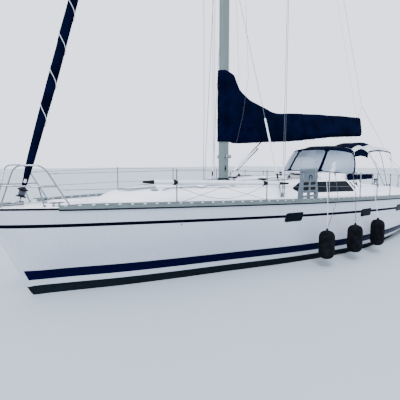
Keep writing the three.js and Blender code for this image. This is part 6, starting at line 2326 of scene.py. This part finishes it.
def backstay():
    kit = Assembly()
    split = place(11.008, 0, 4.0)
    kit.put(sweep([place(5.295, 0, MAST_TOP - 0.08), split], 0.0045, 8), "wire")
    kit.put(block((5.281, -0.007, MAST_TOP - 0.11), (5.309, 0.007, MAST_TOP - 0.041), 0.002), "steel")
    corners = [(0, 0, 0.028), (0.014, -0.026, -0.016), (0.014, 0.026, -0.016)]
    kit.put(plate([split + Vector(corner) for corner in corners], 0.008, 0.002), "steel")
    for side in (PORT, STARBOARD):
        end = place(11.69, side * 1.33, sheer(11.69) + 0.015)
        kit.put(sweep([split + Vector((0.01, side * 0.02, -0.012)), end], 0.0045, 8), "wire")
        turnbuckle(kit, end, split - end, 0.0115)
        kit.put(around(end, (-0.03, -0.025, -0.012), (0.03, 0.025, 0.002), 0.003), "steel")
    kit.mount("backstay_wires", "stainless", replaces=["backstay"])


forestay()
furler()
genoa()
shrouds()
backstay()


# Running rigging, all of it set up taut


def lacing():
    """Light line laced to the port lifelines: two taut legs, and a slack one that hangs between the stanchions."""
    kit = Assembly()
    marks = [(2.885, 0.02), (3.72, LOWER_LINE), (4.61, 0.05)]
    for ends in zip(marks, marks[1:]):
        leg = [on_lifeline(aft, above, PORT) - Vector((0, 0.009, 0)) for aft, above in ends]
        kit.put(sweep(leg, 0.0045, 6), "dark_rope")
    kit.mount("lacing_legs_port", "canvas")
    hang = [(2.87, 0.296), (3.05, 0.235), (3.3, 0.15), (3.6, 0.088), (3.85, 0.08), (4.1, 0.12), (4.35, 0.2),
            (4.625, 0.33)]
    route = [on_lifeline(aft, above, PORT) + Vector((0, 0.012, 0)) for aft, above in curve(hang, 30)]
    made = one("lacing_slack_port", sweep(route, 0.0045, 8), "dark_rope", "canvas")
    length = sum((b - a).length for a, b in zip(route, route[1:]))
    tuple(route[0])
    [tuple(p) for p in route]


def halyards():
    nose = MAST - MAST_LENGTH / 2
    lines = []
    for top_aft, top, middle, low_aft, y in ((nose - 0.03, 16.5, 4.64, 4.5, 0.06),
                                             (nose - 0.05, 15.9, 4.38, 4.39, -0.04)):
        down = [place(top_aft, 0, top), place(middle, 0, 5.7), place(low_aft, 0, 3.38),
                on_deck(low_aft - 0.05, y)]
        lines.append((down, "dark_rope"))
    for side, finish in ((PORT, "white_rope"), (STARBOARD, "dark_rope")):
        y = side * (MAST_WIDTH / 2 + 0.012)
        down = [place(MAST + 0.05, side * 0.06, 16.6), place(MAST + 0.06, y, 12.6),
                place(MAST + 0.06, y, 4.34)]
        lines.append((down, finish))
        for k, rope in enumerate(("white_rope", "red_rope", "dark_rope")):
            start = on_deck(MAST + 0.1 + 0.03 * k, side * (0.2 + 0.06 * k), 0.03)
            bend = on_deck(5.7 + 0.1 * k, side * (0.46 + 0.06 * k), 0.02)
            end = on_deck(7.55, side * (0.48 + 0.06 * k), 0.025)
            rest = [bend.lerp(end, t) for t in (0.25, 0.5, 0.75, 1.0)]
            lines.append(([start, bend, *[on_deck(p.x - STEM, p.y, 0.02) for p in rest]], rope))
    kit = Assembly()
    for line, finish in lines:
        kit.put(sweep(line, 0.005, 6), finish)
    for side in (PORT, STARBOARD):
        organizer = on_deck(5.75, side * 0.52, 0.012)
        kit.put(around(organizer, (-0.07, -0.1, -0.006), (0.07, 0.1, 0.03), 0.006), "black")
    kit.mount("halyards", "canvas")


def lazy_jacks():
    """The lines that catch the sail, here pulled forward and made fast by the gooseneck."""
    marks = [(MAST + 0.1, 0.09, 9.2), (5.48, 0.15, 5.9), (5.59, 0.16, 4.23), (5.4, 0.185, 3.3),
             (5.22, 0.17, 2.675)]
    for name, side in SIDES.items():
        kit = Assembly()
        kit.put(sweep([place(aft, side * y, z) for aft, y, z in marks], 0.003, 6), "dark_rope")
        crossing(kit.object(f"lazy_jack_{name}"), "canvas")


def topping_lift():
    kit = Assembly()
    line = [place(5.25, 0.01, MAST_TOP - 0.075), place(7.9, 0.005, 10.5),
            place(10.86, 0, boom_at(10.86) + 0.12)]
    kit.put(sweep(line, 0.003, 6), "wire")
    crossing(kit.object("topping_lift"), "stainless")


lacing()
halyards()
lazy_jacks()
topping_lift()


# Under water: keel with its bulb, rudder, shaft leg and propeller


def foil_ring(aft, chord, thick, z, steps=20):
    """A streamlined section with its nose at a distance aft."""
    ring = []
    for i in range(steps * 2):
        side = 1 if i <= steps else -1
        s = (1 - math.cos(math.pi * i / steps)) / 2
        half = thick * (1.4845 * math.sqrt(s) - 0.63 * s - 1.758 * s * s + 1.4215 * s**3 - 0.5075 * s**4)
        ring.append(place(aft + chord * s, side * max(half, thick * 0.008) if 0 < s < 1 else 0.0, z))
    return ring


def foil_body(sections, rows=12):
    """A fin through sections, each with its distance aft, chord, thickness and height."""
    return skin([foil_ring(*section) for section in curve(sections, rows * (len(sections) - 1))])


def keel():
    kit = Assembly()
    kit.put(foil_body([(5.15, 2.05, 0.24, -0.3), (5.25, 1.9, 0.22, -0.8), (5.42, 1.65, 0.19, -1.75)]),
            "antifouling")
    bulb = curve([(0, 0), (0.06, 0.025), (0.12, 0.09), (0.17, 0.2), (0.2, 0.35), (0.215, 0.8), (0.17, 1.5),
                  (0.09, 2.0), (0, 2.3)], 48)
    profile = [(0, 0), *[(max(0.0, r), along) for r, along in bulb[1:-1]], (0, 2.3)]
    kit.put(turned(profile, place(5.25, 0, -1.7), (1, 0, 0), 40), "antifouling")
    kit.mount("keel_and_bulb", "antifouling", replaces=["keel"], smooth=1.0)


def rudder():
    kit = Assembly()
    kit.put(foil_body([(10.74, 0.76, 0.15, -0.33), (10.79, 0.7, 0.13, -0.9), (10.89, 0.52, 0.09, -1.7)]),
            "antifouling")
    kit.put(bar(place(11.0, 0, -0.5), place(11.0, 0, 0.44), 0.035, 32, 0.002), "steel")
    kit.mount("rudder_blade_and_stock", "antifouling", body="rudder", replaces=["rudder"], smooth=1.0)


SHAFT_HEIGHT, LEG_START, LEG_END, HUB_START, BLADES = -0.88, 8.83, 9.23, 9.2303, 9.3


def drive_leg():
    length = LEG_END - LEG_START
    pod = [(0, 0), (0.022, 0.006), (0.04, 0.025), (0.051, 0.06), (0.058, 0.1), (0.058, 0.3), (0.054, 0.35),
           (0.05, length), (0, length)]
    anode = [(0.05, 0), (0.0575, 0.004), (0.0575, 0.03), (0.05, 0.034), (0.05, 0)]
    fin = [(8.9, 0.3, 0.1, -0.25), (8.905, 0.29, 0.096, -0.5), (8.92, 0.28, 0.09, SHAFT_HEIGHT)]
    kit = Assembly()
    kit.put(foil_body(fin, 8), "antifouling")
    kit.put(turned(pod, place(LEG_START, 0, SHAFT_HEIGHT), (1, 0, 0), 32), "antifouling")
    kit.put(turned(anode, place(9.14, 0, SHAFT_HEIGHT), (1, 0, 0), 32), "zinc")
    kit.mount("shaft_leg", "grey_plastic", replaces=["drive_leg"])


def blade(angle):
    """One propeller blade, twisted from its root to its tip."""
    centre, turn = place(BLADES, 0, SHAFT_HEIGHT), Matrix.Rotation(angle, 3, "X")
    rings = []
    for t in [k / 12 for k in range(13)]:
        taper = 1 - 0.75 * max(0, t - 0.72) / 0.28
        chord = 0.05 + 0.09 * math.sin(math.pi * min(1, t * 0.9 + 0.12)) * taper
        thick = 0.011 * (1 - 0.75 * t)
        section = Matrix.Rotation(math.radians(62 - 30 * t), 3, "Z")
        out = Vector((0, 0, 0.03 + 0.192 * t))
        rings.append([centre + turn @ (section @ Vector((chord / 2 * x, thick / 2 * y, 0)) + out)
                      for x, y in circle(14)])
    return skin(rings)


def propeller():
    kit = Assembly()
    hub = [(0, 0), (0.046, 0), (0.048, 0.004), (0.048, 0.118), (0.04, 0.14), (0.024, 0.158), (0, 0.168)]
    kit.put(turned(hub, place(HUB_START, 0, SHAFT_HEIGHT), (1, 0, 0), 32), "bronze")
    for i in range(3):
        kit.put(blade(2 * math.pi * i / 3), "bronze")
    kit.mount("propeller_blades", "bronze", body="propeller", replaces=["propeller"], smooth=0.9)


keel()
rudder()
drive_leg()
propeller()


# Floor, backdrop and light


def set_floor():
    bm = bmesh.new()
    bmesh.ops.create_grid(bm, x_segments=2, y_segments=2, size=120)
    mesh = bpy.data.meshes.new("floor")
    bm.to_mesh(mesh)
    bm.free()
    floor = bpy.data.objects.new("floor", mesh)
    made, tree, shader = blank("studio_floor", "a4adb4", 0.8)
    stain = add(tree, "Mix", spots(tree, 3000, 3), "9fa9b0", "a9b2b8", data_type="RGBA")
    feed(tree, shader, {"Base Color": stain})
    mesh.materials.append(made)
    bpy.context.scene.collection.objects.link(floor)


def set_light():
    world = bpy.data.worlds.new("overcast")
    bpy.context.scene.world = world
    world.use_nodes = True
    sky = world.node_tree.nodes["Background"]
    sky.inputs["Color"].default_value = colour("dfe5f5")
    sky.inputs["Strength"].default_value = 2.6
    sun = bpy.data.objects.new("veiled_sun", bpy.data.lights.new("veiled_sun", "SUN"))
    sun.data.energy = 3.2
    sun.data.angle = 0.35
    sun.data.color = colour("f6f7ff")[:3]
    sun.rotation_mode = "QUATERNION"
    sun.rotation_quaternion = Vector((-0.5, -0.45, 0.8)).to_track_quat("Z", "Y")
    bpy.context.scene.collection.objects.link(sun)


set_floor()
set_light()
